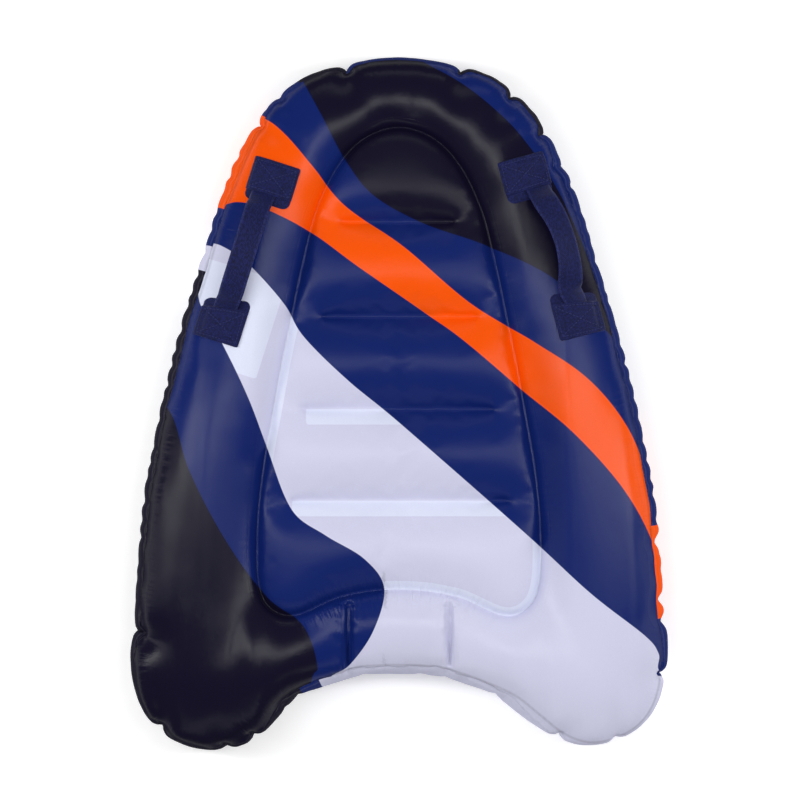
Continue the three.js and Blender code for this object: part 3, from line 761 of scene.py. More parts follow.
class Look:
    """A Principled material, with short ways to add its nodes."""

    def __init__(self, name, roughness, **sockets):
        self.material = bpy.data.materials.new(name)
        self.material.use_nodes = True
        self.tree = self.material.node_tree
        self.shader = self.tree.nodes["Principled BSDF"]
        self.shader.inputs["Roughness"].default_value = roughness
        for socket, value in sockets.items():
            self.shader.inputs[socket.replace("_", " ")].default_value = value

    def add(self, kind, inputs=(), **settings):
        node = self.tree.nodes.new(kind)
        for key, value in settings.items():
            setattr(node, key, value)
        for key, value in inputs:
            self.feed(node.inputs[key], value)
        return node

    def feed(self, socket, value):
        if isinstance(value, bpy.types.NodeSocket):
            self.tree.links.new(value, socket)
        elif hasattr(value, "__len__") and len(value) == 3 and socket.type == "RGBA":
            socket.default_value = (*value, 1)
        else:
            socket.default_value = value

    def field(self, name):
        """A number kept on the mesh."""
        return self.add("ShaderNodeAttribute", attribute_name=name).outputs["Fac"]

    def math(self, operation, *values):
        return self.add("ShaderNodeMath", enumerate(values), operation=operation).outputs[0]

    def step(self, value, low, high, start=0.0, end=1.0):
        """A smooth change from start to end while the value goes from low to high."""
        inputs = (("Value", value), ("From Min", low), ("From Max", high),
                  ("To Min", start), ("To Max", end))
        return self.add("ShaderNodeMapRange", inputs, interpolation_type="SMOOTHSTEP").outputs["Result"]

    def mix(self, share, a, b, blend="MIX"):
        inputs = ((0, share), (6, a), (7, b))
        return self.add("ShaderNodeMix", inputs, data_type="RGBA", blend_type=blend).outputs[2]

    def place(self, stretch=(1, 1, 1), turn=0.0):
        """The point's place on the object, stretched for a texture."""
        where = self.add("ShaderNodeTexCoord").outputs["Object"]
        inputs = (("Vector", where), ("Rotation", (0, 0, turn)), ("Scale", stretch))
        return self.add("ShaderNodeMapping", inputs).outputs[0]

    def noise(self, scale, place=None, detail=2.0, roughness=0.5):
        inputs = (("Vector", place or self.place()), ("Scale", scale), ("Detail", detail),
                  ("Roughness", roughness))
        return self.add("ShaderNodeTexNoise", inputs).outputs["Fac"]

    def pair(self, x, y, z=0.0):
        """A texture place put together from numbers."""
        return self.add("ShaderNodeCombineXYZ", enumerate((x, y, z))).outputs[0]

    def grey(self, value):
        return self.add("ShaderNodeCombineColor", enumerate((value, value, value))).outputs[0]

    def shade(self, colour, noise, share):
        """The colour, lighter and darker by up to the share with the noise."""
        factor = self.math("MULTIPLY_ADD", noise, 2 * share, 1 - share)
        return self.mix(1.0, colour, self.grey(factor), "MULTIPLY")

    def bump(self, height, distance, strength=1.0, normal=None):
        inputs = [("Height", height), ("Distance", distance), ("Strength", strength)]
        if normal is not None:
            inputs.append(("Normal", normal))
        return self.add("ShaderNodeBump", inputs).outputs[0]

    def finish(self, colour, normal=None, roughness=None):
        self.feed(self.shader.inputs["Base Color"], colour)
        if normal is not None:
            self.feed(self.shader.inputs["Normal"], normal)
        if roughness is not None:
            self.feed(self.shader.inputs["Roughness"], roughness)
        return self.material

    def weave(self, across, along, pitch_across, pitch_along):
        """A plain weave's height, from 0 to 1: over and under, half a thread apart on each row."""
        a = self.math("SINE", self.math("MULTIPLY", across, 2 * math.pi / pitch_across))
        b = self.math("SINE", self.math("MULTIPLY", along, 2 * math.pi / pitch_along))
        return self.math("MULTIPLY_ADD", self.math("MULTIPLY", a, b), 0.5, 0.5)


def print_colour(look, grain):
    """The print, paler where something backs the thin white, with its grain and painted shade along the
    seams.
    """
    print_edge, lining_edge = 0.0003, 0.0006

    def area(name):
        return look.step(look.field(name), -print_edge, print_edge)

    white = look.mix(look.step(look.field("lining"), -lining_edge, lining_edge), WHITE, LINED_WHITE)
    colour = look.mix(area("black"), NAVY, BLACK)
    colour = look.mix(area("white"), colour, white)
    colour = look.mix(area("orange"), colour, ORANGE)
    colour = look.shade(colour, look.noise(7, detail=3), 0.05)
    colour = look.shade(colour, grain, 0.09)
    # painted shade: the colour darkens within a few millimetres of each seam, as if in the crease's shadow
    seam_painted_shade = look.step(look.field("seam_gap"), 0.0, 0.0026, 0.74, 1.0)
    return look.mix(1.0, colour, look.grey(seam_painted_shade), "MULTIPLY")


def cloth_relief(look, grain):
    """Fine puckers that run out from the seam, the welds and the ties, a crumple, and the grain."""
    def waves(name, pitch, stretch, start=0.0):
        """Puckers across a seam or weld: close together along it and long across it."""
        along = look.math("MULTIPLY", look.field(f"{name}_along"), pitch)
        away = look.math("MULTIPLY", look.field(f"{name}_gap"), stretch)
        return look.noise(1, look.pair(along, away, start), detail=2)

    seam_share = look.step(look.field("seam_gap"), 0.001, 0.022, 1.0, 0.0)
    tie_wave = look.noise(1, look.place((210, 12, 1)), detail=2)
    tie_share = look.math("MULTIPLY", look.field("tie_folds"), 2.6)
    puckers = look.math("MULTIPLY", waves("seam", 190, 30, 7.0), seam_share)
    puckers = look.math("MULTIPLY_ADD", waves("weld", 210, 22), look.field("weld_folds"), puckers)
    puckers = look.math("MULTIPLY_ADD", tie_wave, tie_share, puckers)
    normal = look.bump(puckers, 0.0020, 0.55)
    crumple = look.noise(1, look.place((30, 9, 14)), detail=4, roughness=0.5)
    normal = look.bump(crumple, 0.0012, 0.25, normal)
    flange_edge = look.math("ABSOLUTE", look.math("SUBTRACT", look.field("weld_gap"), FLANGE))
    normal = look.bump(look.step(flange_edge, 0.0, 0.0009), 0.0002, 0.5, normal)
    return look.bump(grain, 0.00018, 0.55, normal)


def printed_cloth():
    """Satin-coated nylon with its print. The pad, where riders lie, has lost some of its shine."""
    look = Look("printed_nylon", 0.22, Specular_IOR_Level=0.115)
    threads = look.noise(1, look.place((2600, 420, 900)), detail=1)
    cross_threads = look.noise(1, look.place((420, 2600, 900)), detail=1)
    grain = look.math("MULTIPLY", look.math("ADD", threads, cross_threads), 0.5)
    in_pad = look.step(look.field("weld_gap"), -0.02, 0.01, 0.26, 0.155)
    roughness = look.math("MULTIPLY_ADD", look.noise(38, detail=3), 0.07, in_pad)
    # the threads shade one another, so the cloth's shine is dull at a glancing angle
    facing = look.add("ShaderNodeLayerWeight", (("Blend", 0.5),)).outputs["Facing"]
    roughness = look.math("MAXIMUM", roughness, look.step(facing, 0.30, 0.60, 0.0, 1.0))
    return look.finish(print_colour(look, grain), cloth_relief(look, grain), roughness)


def webbing_cloth():
    """Coarse nylon webbing with firm selvedges."""
    look = Look("nylon_webbing", 0.62, Specular_IOR_Level=0.15, Sheen_Weight=0.04)
    across, along = look.field("across"), look.field("along")
    weave = look.weave(across, along, 0.0022, 0.0030)
    rib = look.math("SINE", look.math("MULTIPLY", across, 2 * math.pi / 0.0011))
    height = look.math("MULTIPLY_ADD", rib, 0.16, weave)
    edge = look.step(look.math("ABSOLUTE", across), 0.0118, 0.0128)
    colour = look.mix(look.math("MULTIPLY", edge, 0.55), WEBBING_NAVY, THREAD_NAVY)
    colour = look.shade(colour, weave, 0.30)
    mottled = look.step(look.noise(1, look.place((620, 260, 620)), detail=3), 0.35, 0.65)
    colour = look.shade(colour, mottled, 0.45)
    normal = look.bump(height, 0.0004, 0.8)
    return look.finish(colour, normal)


def patch_cloth():
    """Heavy Oxford cloth with a basket weave."""
    look = Look("oxford_cloth", 0.66, Specular_IOR_Level=0.15, Sheen_Weight=0.04)
    weave = look.weave(look.field("across"), look.field("along"), 0.0024, 0.0024)
    colour = look.shade(WEBBING_NAVY, weave, 0.32)
    colour = look.shade(colour, look.step(look.noise(520, detail=3), 0.35, 0.65), 0.50)
    fuzz = look.noise(1400, detail=1)
    normal = look.bump(weave, 0.00035, 0.8)
    normal = look.bump(fuzz, 0.0001, 0.5, normal)
    return look.finish(colour, normal)


def thread_cloth():
    look = Look("sewing_thread", 0.55, Specular_IOR_Level=0.2, Sheen_Weight=0.03)
    ply = look.noise(1, look.place((2200, 2200, 2200), 0.8), detail=1)
    return look.finish(look.shade(THREAD_NAVY, ply, 0.35), look.bump(ply, 0.00012))


def lining_cloth():
    """Uncoated white nylon for what the hull holds inside."""
    look = Look("lining_nylon", 0.6, Sheen_Weight=0.2)
    threads = look.noise(1, look.place((1400, 1400, 300)), detail=1)
    colour = look.shade((0.66, 0.66, 0.72), threads, 0.12)
    return look.finish(look.shade(colour, look.noise(9), 0.05), look.bump(threads, 0.0002, 0.6))


def moulded(name, colour, roughness, grain, **sockets):
    """Moulded plastic or rubber: a fine spark-eroded skin with slightly uneven gloss."""
    look = Look(name, roughness, **sockets)
    skin = look.noise(grain, detail=3)
    scuffs = look.noise(1, look.place((160, 700, 160), 0.6), detail=4, roughness=0.7)
    uneven = look.math("MULTIPLY_ADD", scuffs, 0.16, roughness - 0.08)
    shaded = look.shade(look.shade(colour, look.noise(30), 0.05), scuffs, 0.04)
    return look.finish(shaded, look.bump(skin, 0.00008, 0.5), uneven)


def floor_paper():
    look = Look("studio_floor", 0.85, Specular_IOR_Level=0.0, Emission_Color=(1, 1, 1, 1),
                Emission_Strength=0.30)
    return look.finish(look.shade((0.93, 0.93, 0.93), look.noise(2.5), 0.008))


# ---- placing pieces ------------------------------------------------------------------------------

def place_piece(obj, material, body, slot, *nodes):
    obj.data.materials.clear()
    obj.data.materials.append(material)
    if body is not None:
        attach(obj, body)
    if nodes:
        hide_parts(*nodes)
    return obj


def make_hull():
    """The inflated hull: top panel, bottom panel with its valve hole, and side wall.

    Returns the surface that the handles lie on."""
    points, triangles, parts, held = cut_hull()
    blown = iron(inflate(points, triangles, held), triangles, parts, held)
    points = rest_on_floor(press_folds(blown))
    cloth = printed_cloth()
    surfaces = []
    for name, part, slot, node in (("hull_top", TOP, "top_fabric", "top_panel"),
                                   ("hull_side", WALL, "wall_fabric", "side_wall"),
                                   ("hull_bottom", BOTTOM, "bottom_fabric", "bottom_panel")):
        shape, faces = part_of(points, triangles, parts, held, part)
        obj = mesh_object(name, shape, faces.tolist())
        if part == WALL:
            write_wall_fields(obj, shape)
        else:
            write_panel_fields(obj, shape, ("left", "right") if part == TOP else ())
        surfaces.append((shape, faces))
        thicken(obj)
        place_piece(obj, cloth, "hull", slot, node)
    (top, top_faces), (side, side_faces) = surfaces[:2]
    faces = np.vstack([top_faces, side_faces + len(top)])
    return BVHTree.FromPolygons(np.vstack([top, side]).tolist(), faces.tolist())


# ---- grab handles --------------------------------------------------------------------------------

PATCH_WIDTH = 0.056
PATCH_BACK = 0.024           # from the patch's middle to its outer edge
COVER_FRONT = 0.018          # and to the cover's edge that the strap comes out of
BASE_FRONT = 0.029           # the base patch reaches further, on each side of the strap
BACKING_PATCH = PATCH_WIDTH - 0.004  # the patch inside the hull
BACKING = 0.122              # the reinforcement round it that shows through the white, a square
BACKING_SHIFT = 0.004        # its middle lies this much nearer the board's middle than the patch's
PATCH_CLOTH = 0.0013
PATCH_HEM = 0.006            # the width of the cover's turned-in edge
HEM_RISE = 0.0005
LAYER_GAP = 0.0003           # between cloths that lie on one another
WEB_WIDTH = 0.030
WEB_THICKNESS = 0.0024
STRAP_STEP = 0.0016          # spacing of the points of a strap's middle line
HANDLE_SLIDE = {"left": 0.008, "right": 0.002}     # how far behind its nominal place a handle is sewn on
# Each patch is sewn on a little out of line with its handle, in degrees, and nearer the board's middle.
PATCH_TURN = {("left", "front"): 2, ("left", "rear"): 2, ("right", "front"): -4, ("right", "rear"): -5}
PATCH_INWARD = {("left", "front"): 0.006, ("left", "rear"): 0.005, ("right", "front"): 0.004,
                ("right", "rear"): 0.001}
STRAP_INWARD = {("left", "front"): 0.0, ("left", "rear"): 0.0045, ("right", "front"): -0.006,
                ("right", "rear"): 0.0}
PATCH_SLANT = {"front": 0.0, "rear": 0.20}          # how much longer a patch is on its inner side
# How far the strap's middle bows outward, and how far it leans over.
STRAP_BOW = {"left": -0.001, "right": 0.0105}
STRAP_LEAN = {"left": 4, "right": 28}
# The strap's middle line over a patch: how far on from the patch's middle, and how high over the hull.
UNDER_COVER = ((-0.016, 0.0031), (-0.004, 0.0031), (0.008, 0.0032), (0.019, 0.0042))


def plan_middle(node):
    low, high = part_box(node)
    return np.array([(low.x + high.x) / 2, (low.y + high.y) / 2])


def unit(vectors):
    return vectors / np.linalg.norm(vectors, axis=-1, keepdims=True)


def upward(vectors):
    """The vectors, turned over where they point down."""
    return vectors * np.sign(vectors[..., 2:])


def patch_place(side, end):
    """Where the strap's middle crosses a patch, and the direction in plan in which it leaves it."""
    other = {"front": "rear", "rear": "front"}[end]
    middle = plan_middle(f"{side}_{end}_patch")
    along = unit(plan_middle(f"{side}_{other}_patch") - middle)
    middle = middle + along * HANDLE_SLIDE[side] * (1 if end == "front" else -1)
    turn = math.radians(PATCH_TURN[side, end])
    turned_x = along[0] * math.cos(turn) - along[1] * math.sin(turn)
    turned_y = along[0] * math.sin(turn) + along[1] * math.cos(turn)
    return middle, np.array([turned_x, turned_y])


def drop(hull, place):
    """Where a plumb line at a place in plan meets the hull's top, and the normal there."""
    hit, normal = hull.ray_cast(Vector((place[0], place[1], 0.4)), Vector((0, 0, -1)))[:2]
    return np.array(hit), np.array(normal)


def grid_normals(points):
    return upward(unit(np.cross(np.gradient(points, axis=0), np.gradient(points, axis=1))))


def drape(hull, plan):
    """A grid of plan points dropped on the hull: the points and their normals."""
    ground = np.zeros((*plan.shape[:2], 3))
    for at in np.ndindex(plan.shape[:2]):
        ground[at] = drop(hull, plan[at])[0]
    return ground, grid_normals(ground)


def slab(name, upper, lower, across, along):
    """A closed piece between two grids of points, with its weave's coordinates on it."""
    rows, columns = upper.shape[:2]
    numbers = np.arange(rows * columns).reshape(rows, columns)
    under = numbers + rows * columns

    def quads(grid):
        return np.stack([grid[:-1, :-1], grid[1:, :-1], grid[1:, 1:], grid[:-1, 1:]], -1).reshape(-1, 4)

    rim = np.concatenate([numbers[0, :-1], numbers[:-1, -1], numbers[-1, :0:-1], numbers[:0:-1, 0]])
    rim_under = rim + rows * columns
    sides = np.stack([rim, np.roll(rim, -1), np.roll(rim_under, -1), rim_under], 1)
    faces = np.vstack([quads(numbers), quads(under)[:, ::-1], sides])
    obj = mesh_object(name, np.vstack([upper.reshape(-1, 3), lower.reshape(-1, 3)]), faces.tolist())
    if np.cross(upper[1, 0] - upper[0, 0], upper[0, 1] - upper[0, 0]) @ (upper[0, 0] - lower[0, 0]) < 0:
        obj.data.flip_normals()
    obj.data.set_sharp_from_angle(angle=math.radians(50))
    write_field(obj, "across", np.tile(across.ravel(), 2))
    write_field(obj, "along", np.tile(along.ravel(), 2))
    return obj


def patch_grid(half_width, back, front, radius, steps=40):
    """Local coordinates of a patch's grid, across and along, with its corners rounded."""
    u, v = np.meshgrid(np.linspace(-1, 1, steps), np.linspace(-1, 1, steps))
    half_length = (back + front) / 2
    x, y = u * half_width, v * half_length
    over_x = np.maximum(np.abs(x) - (half_width - radius), 0)
    over_y = np.maximum(np.abs(y) - (half_length - radius), 0)
    length = np.hypot(over_x, over_y)
    pull = np.where(length > 0, np.maximum(over_x, over_y) / np.maximum(length, 1e-9), 1)
    x = np.sign(x) * (np.abs(x) - over_x * (1 - pull))
    y = np.sign(y) * (np.abs(y) - over_y * (1 - pull))
    return x, y + (front - back) / 2


def edge_gap(x, y, half_width, back, front):
    return np.minimum(half_width - np.abs(x), np.minimum(y + back, front - y))


def stitch_lines(half_width, back, front, inset=0.004):
    """A box of stitching with a cross in it, as pairs of local points."""
    w, low, high = half_width - inset, -back + inset, front - inset
    corners = [(-w, low), (w, low), (w, high), (-w, high)]
    box = list(zip(corners, corners[1:] + corners[:1]))
    return box + [(corners[0], corners[2]), (corners[1], corners[3])]


def line_gap(x, y, lines):
    """The distance from each local point to the nearest stitch line."""
    best = np.full(x.shape, 1.0)
    for (x1, y1), (x2, y2) in lines:
        run_x, run_y = x2 - x1, y2 - y1
        share = np.clip(((x - x1) * run_x + (y - y1) * run_y) / (run_x ** 2 + run_y ** 2), 0, 1)
        best = np.minimum(best, np.hypot(x - x1 - share * run_x, y - y1 - share * run_y))
    return best


STITCH = 0.0030              # the part of a stitch that shows
STITCH_PITCH = 0.0038
THREAD = 0.0006


def stitching(name, lines, surface_at):
    """Every stitch as a short arch of thread that dips into the cloth at both ends."""
    sides, bends = 6, 5
    verts, faces = [], []
    for (x1, y1), (x2, y2) in lines:
        length = math.hypot(x2 - x1, y2 - y1)
        count = round(length / STITCH_PITCH)
        for k in range(count):
            middle = (k + 0.5) / count
            half = STITCH / 2 / length
            first = len(verts)
            for b in range(bends):
                share = b / (bends - 1)
                at = middle + half * (2 * share - 1)
                point, normal = surface_at(x1 + (x2 - x1) * at, y1 + (y2 - y1) * at)
                ahead, _ = surface_at(x1 + (x2 - x1) * (at + 0.01), y1 + (y2 - y1) * (at + 0.01))
                run = unit(ahead - point)
                sideways = np.cross(run, normal)
                rise = THREAD * (1.5 * math.sin(math.pi * share) - 0.7)
                girth = THREAD * (0.75 + 0.25 * math.sin(math.pi * share))
                for s in range(sides):
                    turn = 2 * math.pi * s / sides
                    verts.append(point + normal * (rise + girth * math.sin(turn) * 0.8)
                                 + sideways * girth * math.cos(turn))
            for b in range(bends - 1):
                for s in range(sides):
                    t = (s + 1) % sides
                    one, other = first + b * sides, first + (b + 1) * sides
                    faces.append([one + s, one + t, other + t, other + s])
            faces.append([first + s for s in reversed(range(sides))])
            faces.append([first + (bends - 1) * sides + s for s in range(sides)])
    return mesh_object(name, verts, faces)


def grid_surface(points, x, y):
    """A function that gives the point and normal of a draped grid at local coordinates."""
    tree = plan_tree(np.stack([x.ravel(), y.ravel()], 1))
    flat_points = points.reshape(-1, 3)
    normals = grid_normals(points).reshape(-1, 3)

    def surface_at(a, b):
        near = tree.find_n((a, b, 0), 4)
        weights = np.array([1 / (gap + 1e-6) ** 2 for _, _, gap in near])
        weights /= weights.sum()
        numbers = [k for _, k, _ in near]
        return weights @ flat_points[numbers], unit(weights @ normals[numbers])
    return surface_at


def patch_draper(hull, side, end):
    """A function that drapes a patch of any size over its place, and the strap's place across it."""
    middle, along = patch_place(side, end)
    across = np.array([along[1], -along[0]])
    inner = -np.sign(middle[0]) * np.sign(across[0])
    middle = middle + across * PATCH_INWARD[side, end] * inner

    def draped(half_width, back, front, radius):
        x, y = patch_grid(half_width, back, front, radius)
        slanted = y + PATCH_SLANT[end] * inner * x * (y + back) / (back + front)
        plan = middle + x[..., None] * across + slanted[..., None] * along
        return x, y, *drape(hull, plan)

    return draped, (STRAP_INWARD[side, end] - PATCH_INWARD[side, end]) * inner


def make_inner_patch(name, draped, lining):
    """The patch inside the hull that backs the sewing."""
    x, y, ground, normals = draped(BACKING_PATCH / 2, PATCH_BACK, PATCH_BACK, 0.004)
    under = ground - normals * (CLOTH + LAYER_GAP)
    patch = slab(f"{name}_inner_patch", under, under - normals * PATCH_CLOTH, x, y)
    place_piece(patch, lining, "hull", "baffle_fabric", f"{name}_backing")


def make_base_patch(name, draped, oxford):
    """The patch on the hull under the strap's end, which reaches out on both sides of the strap."""
    half = PATCH_WIDTH / 2
    x, y, ground, normals = draped(half, PATCH_BACK, BASE_FRONT, 0.009)
    gap = edge_gap(x, y, half, PATCH_BACK, BASE_FRONT)
    lift = PATCH_CLOTH * smoothstep(gap, -0.0006, 0.0008) + 0.0004 * smoothstep(gap, 0.0, PATCH_HEM)
    patch = slab(f"{name}_base_patch", ground + normals * lift[..., None], ground + normals * 0.0001, x, y)
    place_piece(patch, oxford, "hull", "patch_fabric", f"{name}_base")


def make_cover_patch(name, draped, strap_at, oxford, thread):
    """The hemmed cover over the strap's end, and the stitching that holds it down."""
    half = PATCH_WIDTH / 2
    x, y, ground, normals = draped(half, PATCH_BACK, COVER_FRONT, 0.0025)
    gap = edge_gap(x, y, half, PATCH_BACK, COVER_FRONT)
    lines = stitch_lines(half, PATCH_BACK, COVER_FRONT)
    beside_web = WEB_WIDTH / 2 - np.abs(x - strap_at)
    over_web = smoothstep(beside_web, -0.006, 0) * smoothstep(y, -0.021, -0.015)
    dimples = 0.0005 * bell(line_gap(x, y, lines), 0.0011)
    hem = HEM_RISE * smoothstep(gap, PATCH_HEM + 0.0006, PATCH_HEM - 0.0004)
    floor = PATCH_CLOTH + 0.0005 + (WEB_THICKNESS - 0.0002) * over_web
    rim = smoothstep(gap, -0.0006, 0.0009)
    lift = floor + PATCH_CLOTH * rim + (hem - dimples) * rim
    upper = ground + normals * lift[..., None]
    patch = slab(f"{name}_cover_patch", upper, ground + normals * floor[..., None], x, y)
    place_piece(patch, oxford, "hull", "patch_fabric", f"{name}_patch")
    sewing = stitching(f"{name}_stitching", lines, grid_surface(upper, x, y))
    place_piece(sewing, thread, "hull", "patch_fabric")


def strap_ends(side):
    """The middles of the CAD strap's front and rear ends."""
    points = cad_points(f"{side}_strap")
    lengthways = unit(plan_middle(f"{side}_rear_patch") - plan_middle(f"{side}_front_patch"))
    order = np.argsort(points[:, :2] @ lengthways)
    slide = np.append(lengthways * HANDLE_SLIDE[side], 0)
    return points[order[:4]].mean(0) + slide, points[order[-4:]].mean(0) + slide


def strap_line(hull, side):
    """The strap's middle line from under one cover to under the other.

    Returns its points, where it leaves each cover, and the way that is outward for it."""
    front, rear = strap_ends(side)
    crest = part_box(f"{side}_strap")[1].z - WEB_THICKNESS / 2
    rise = crest - (front[2] + rear[2]) / 2
    chord = rear - front
    out = unit(np.array([chord[1], -chord[0], 0.0]))
    out *= np.sign(out[0]) * (1 if side == "right" else -1)
    route = []
    for end, pivot in (("front", front), ("rear", rear)):
        middle, along = patch_place(side, end)
        shift = -out * STRAP_INWARD[side, end]
        middle = middle + shift[:2]
        stops = []
        for reach, lift in UNDER_COVER:
            hit, normal = drop(hull, middle + along * reach)
            stops.append(hit + normal * lift)
        stops.append(pivot + shift + out * 0.15 * STRAP_BOW[side] + [0, 0, -0.002])
        route.append(stops)
    arch = []
    for share in (0.17, 0.33, 0.5, 0.67, 0.83):
        swell = math.sin(math.pi * share)
        inward = STRAP_INWARD[side, "front"] * (1 - share) + STRAP_INWARD[side, "rear"] * share
        sideways = out * (STRAP_BOW[side] * swell ** 0.7 - inward)
        arch.append(front + chord * share + sideways + [0, 0, rise * swell])
    points = curve_through(route[0] + arch + route[1][::-1], False, STRAP_STEP)
    at = [np.argmin(np.linalg.norm(points - stops[-1], axis=1)) for stops in route]
    return points, at, out


def lay_strap(hull, side, points, at, out):
    """How the strap lies along its line: its widthways directions, and its sag over the hull's curve."""
    run = unit(np.gradient(points, axis=0))
    flat = unit(np.cross(run, np.tile([0.0, 0.0, 1.0], (len(run), 1))))
    flat *= np.sign(flat @ out)[:, None]
    ups = upward(unit(np.cross(flat, run)))
    share = np.clip((np.arange(len(points)) - at[0]) / (at[1] - at[0]), 0, 1)
    lean = np.radians(STRAP_LEAN[side]) * np.sin(np.pi * share)[:, None]
    widthways = flat * np.cos(lean) - ups * np.sin(lean)
    # under a cover the strap lies on the hull's slope and follows its curve
    sag = np.zeros(len(points))
    for ends in (slice(0, at[0]), slice(at[1], None)):
        for k in range(*ends.indices(len(points))):
            half = flat[k] * WEB_WIDTH / 2
            spots = points[k] - half, points[k], points[k] + half
            low, mid, high = (drop(hull, spot)[0] for spot in spots)
            widthways[k] = high - low
            sag[k] = np.linalg.norm(mid - (low + high) / 2)

    def smoothed(values):
        return np.convolve(np.pad(values, 4, "edge"), np.ones(9) / 9, "valid")

    return unit(np.stack([smoothed(column) for column in unit(widthways).T], 1)), smoothed(sag)


def strap_piece(name, points, widthways, sag, along):
    """A length of webbing round the line, with rounded selvedges that hang by the sag."""
    share = np.linspace(-1, 1, 25)
    run = unit(np.gradient(points, axis=0))
    ups = upward(unit(np.cross(widthways, run)))
    selvedge = 1 + 0.12 * bell(np.abs(share) - 0.88, 0.05)
    thickness = WEB_THICKNESS / 2 * (1 - np.abs(share) ** 10) ** 0.5 * selvedge
    thickness = np.maximum(thickness, 0.00015)
    middle = points[:, None] + widthways[:, None] * share[:, None] * WEB_WIDTH / 2
    middle -= ups[:, None] * (sag[:, None] * share ** 2)[..., None]
    lift = ups[:, None] * thickness[:, None]
    across = np.tile(share * WEB_WIDTH / 2, (len(points), 1))
    lengths = np.repeat(along[:, None], len(share), 1)
    return slab(name, middle + lift, middle - lift, across, lengths)


def make_strap(hull, side, webbing):
    """The strap in two lengths, each sewn down at one end."""
    points, at, out = strap_line(hull, side)
    widthways, sag = lay_strap(hull, side, points, at, out)
    along = np.concatenate([[0], np.cumsum(np.linalg.norm(np.diff(points, axis=0), axis=1))])
    half = len(points) // 2
    bend = 12                # steps of the line over which the strap turns at each end
    for end, part, first, last in (("front", slice(0, half + 1), at[0] - bend // 2, at[0] + bend),
                                   ("rear", slice(half, None), at[1] + bend // 2, at[1] - bend)):
        piece = strap_piece(f"{side}_strap_{end}", points[part], widthways[part], sag[part], along[part])
        nodes = [f"{side}_{end}_web_end"]
        if end == "front":
            nodes.append(f"{side}_strap")
        place_piece(piece, webbing, None, "webbing", *nodes)
        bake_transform(piece)


def make_handle(hull, side, webbing, oxford, lining, thread):
    """A strap with its inner patch, base patch and cover at each end."""
    for end in ("front", "rear"):
        name = f"{side}_{end}"
        draped, strap_at = patch_draper(hull, side, end)
        make_inner_patch(name, draped, lining)
        make_base_patch(name, draped, oxford)
        make_cover_patch(name, draped, strap_at, oxford, thread)
    make_strap(hull, side, webbing)


# ---- air valve -----------------------------------------------------------------------------------

MM = 0.001
GRIP_NOTCHES = 20
CAP_INSIDE = -6.9            # the height of the cap's face against the insert, in millimetres


def turned_piece(name, profile, notched_from=None, segments=96, bevel=0.35):
    """A round piece on the valve's axis from a closed [radius, height] profile in millimetres.

    Height is measured from the underside's fabric into the board. Beyond `notched_from` it has grip
    notches."""
    verts, faces = [], []
    for k in range(segments):
        turn = 2 * math.pi * k / segments
        notch = 0.9 * max(0.0, math.cos(GRIP_NOTCHES * turn)) ** 3
        for radius, height in profile:
            r = radius - (notch if notched_from and radius > notched_from else 0)
            verts.append((VALVE[0] + r * MM * math.cos(turn), VALVE[1] + r * MM * math.sin(turn),
                          PAD_FLOOR + height * MM))
    rows = len(profile)
    for k in range(segments):
        here, there = k * rows, (k + 1) % segments * rows
        for r in range(rows):
            s = (r + 1) % rows
            faces.append([here + r, here + s, there + s, there + r])
    obj = mesh_object(name, verts, faces)
    obj.data.validate()
    weld = obj.modifiers.new("weld", "WELD")
    weld.merge_threshold = 1e-6
    edges = obj.modifiers.new("edges", "BEVEL")
    edges.width = bevel * MM
    edges.segments = 2
    edges.limit_method = "ANGLE"
    edges.angle_limit = math.radians(35)
    settle(obj)
    obj.data.shade_smooth()
    obj.data.set_sharp_from_angle(angle=math.radians(35))
    return obj


def make_valve():
    """The valve's turned pieces. Returns the cap's plastic."""
    shell = moulded("valve_plastic", (0.66, 0.68, 0.71), 0.38, 900)
    navy = moulded("cap_plastic", CAP_NAVY, 0.36, 900)
    rubber = moulded("silicone", (0.48, 0.49, 0.52), 0.55, 1500, Subsurface_Weight=0.05)
    base = turned_piece("valve_socket", [
        (14, -2.4), (17.4, -2.4), (17.7, -2.0), (19.0, -2.0), (19.3, -2.4), (21.4, -2.4), (22.4, -1.4),
        (22.4, -0.9), (21.4, -0.2), (15.7, -0.2), (15.7, 14), (14, 14)])
    place_piece(base, shell, "hull", "valve_plastic", "valve_base")
    gasket = turned_piece("valve_ring_seal", [
        (13.9, -3.9), (17, -3.9), (17, -2.7), (13.9, -2.7)], bevel=0.25)
    place_piece(gasket, rubber, "valve_seal", "silicone", "valve_gasket")
    insert = turned_piece("valve_screw_insert", [
        (11, -6.6), (12.4, -6.6), (12.4, -6.3), (17.4, -6.3), (18, -5.8), (18, -4.2), (13.6, -4.2),
        (13.6, -1), (13.2, -0.6), (13.6, -0.2), (13.6, 2), (13.2, 2.4), (13.6, 2.8), (13.6, 5), (13.2, 5.4),
        (13.6, 5.8), (13.6, 12), (2, 12), (2, 10), (11, 10)], notched_from=17, bevel=0.15)
    place_piece(insert, shell, "valve_body", "valve_plastic", "valve_insert")
    flap = turned_piece("valve_disc_flap", [
        (0, 4.6), (3, 4.9), (3, 6), (1.6, 6), (1.6, 12.3), (9.6, 12.3), (10, 12.6), (10, 13), (9.6, 13.3),
        (0, 13.3)], bevel=0.1)
    place_piece(flap, rubber, "valve_disc", "silicone", "valve_flap")
    cap = turned_piece("valve_stopper_cap", [
        (0, -9.3), (9, -9.3), (9.6, -8.9), (11, -8.9), (11.6, -9.3), (16, -9.3), (17, -8.4),
        (17, CAP_INSIDE), (10.5, CAP_INSIDE), (10.5, -2.6), (10.1, -1.9), (9, -1.9), (9, CAP_INSIDE),
        (0, CAP_INSIDE)], bevel=0.2)
    place_piece(cap, navy, "valve_stopper", "cap_plastic", "valve_cap")
    return navy


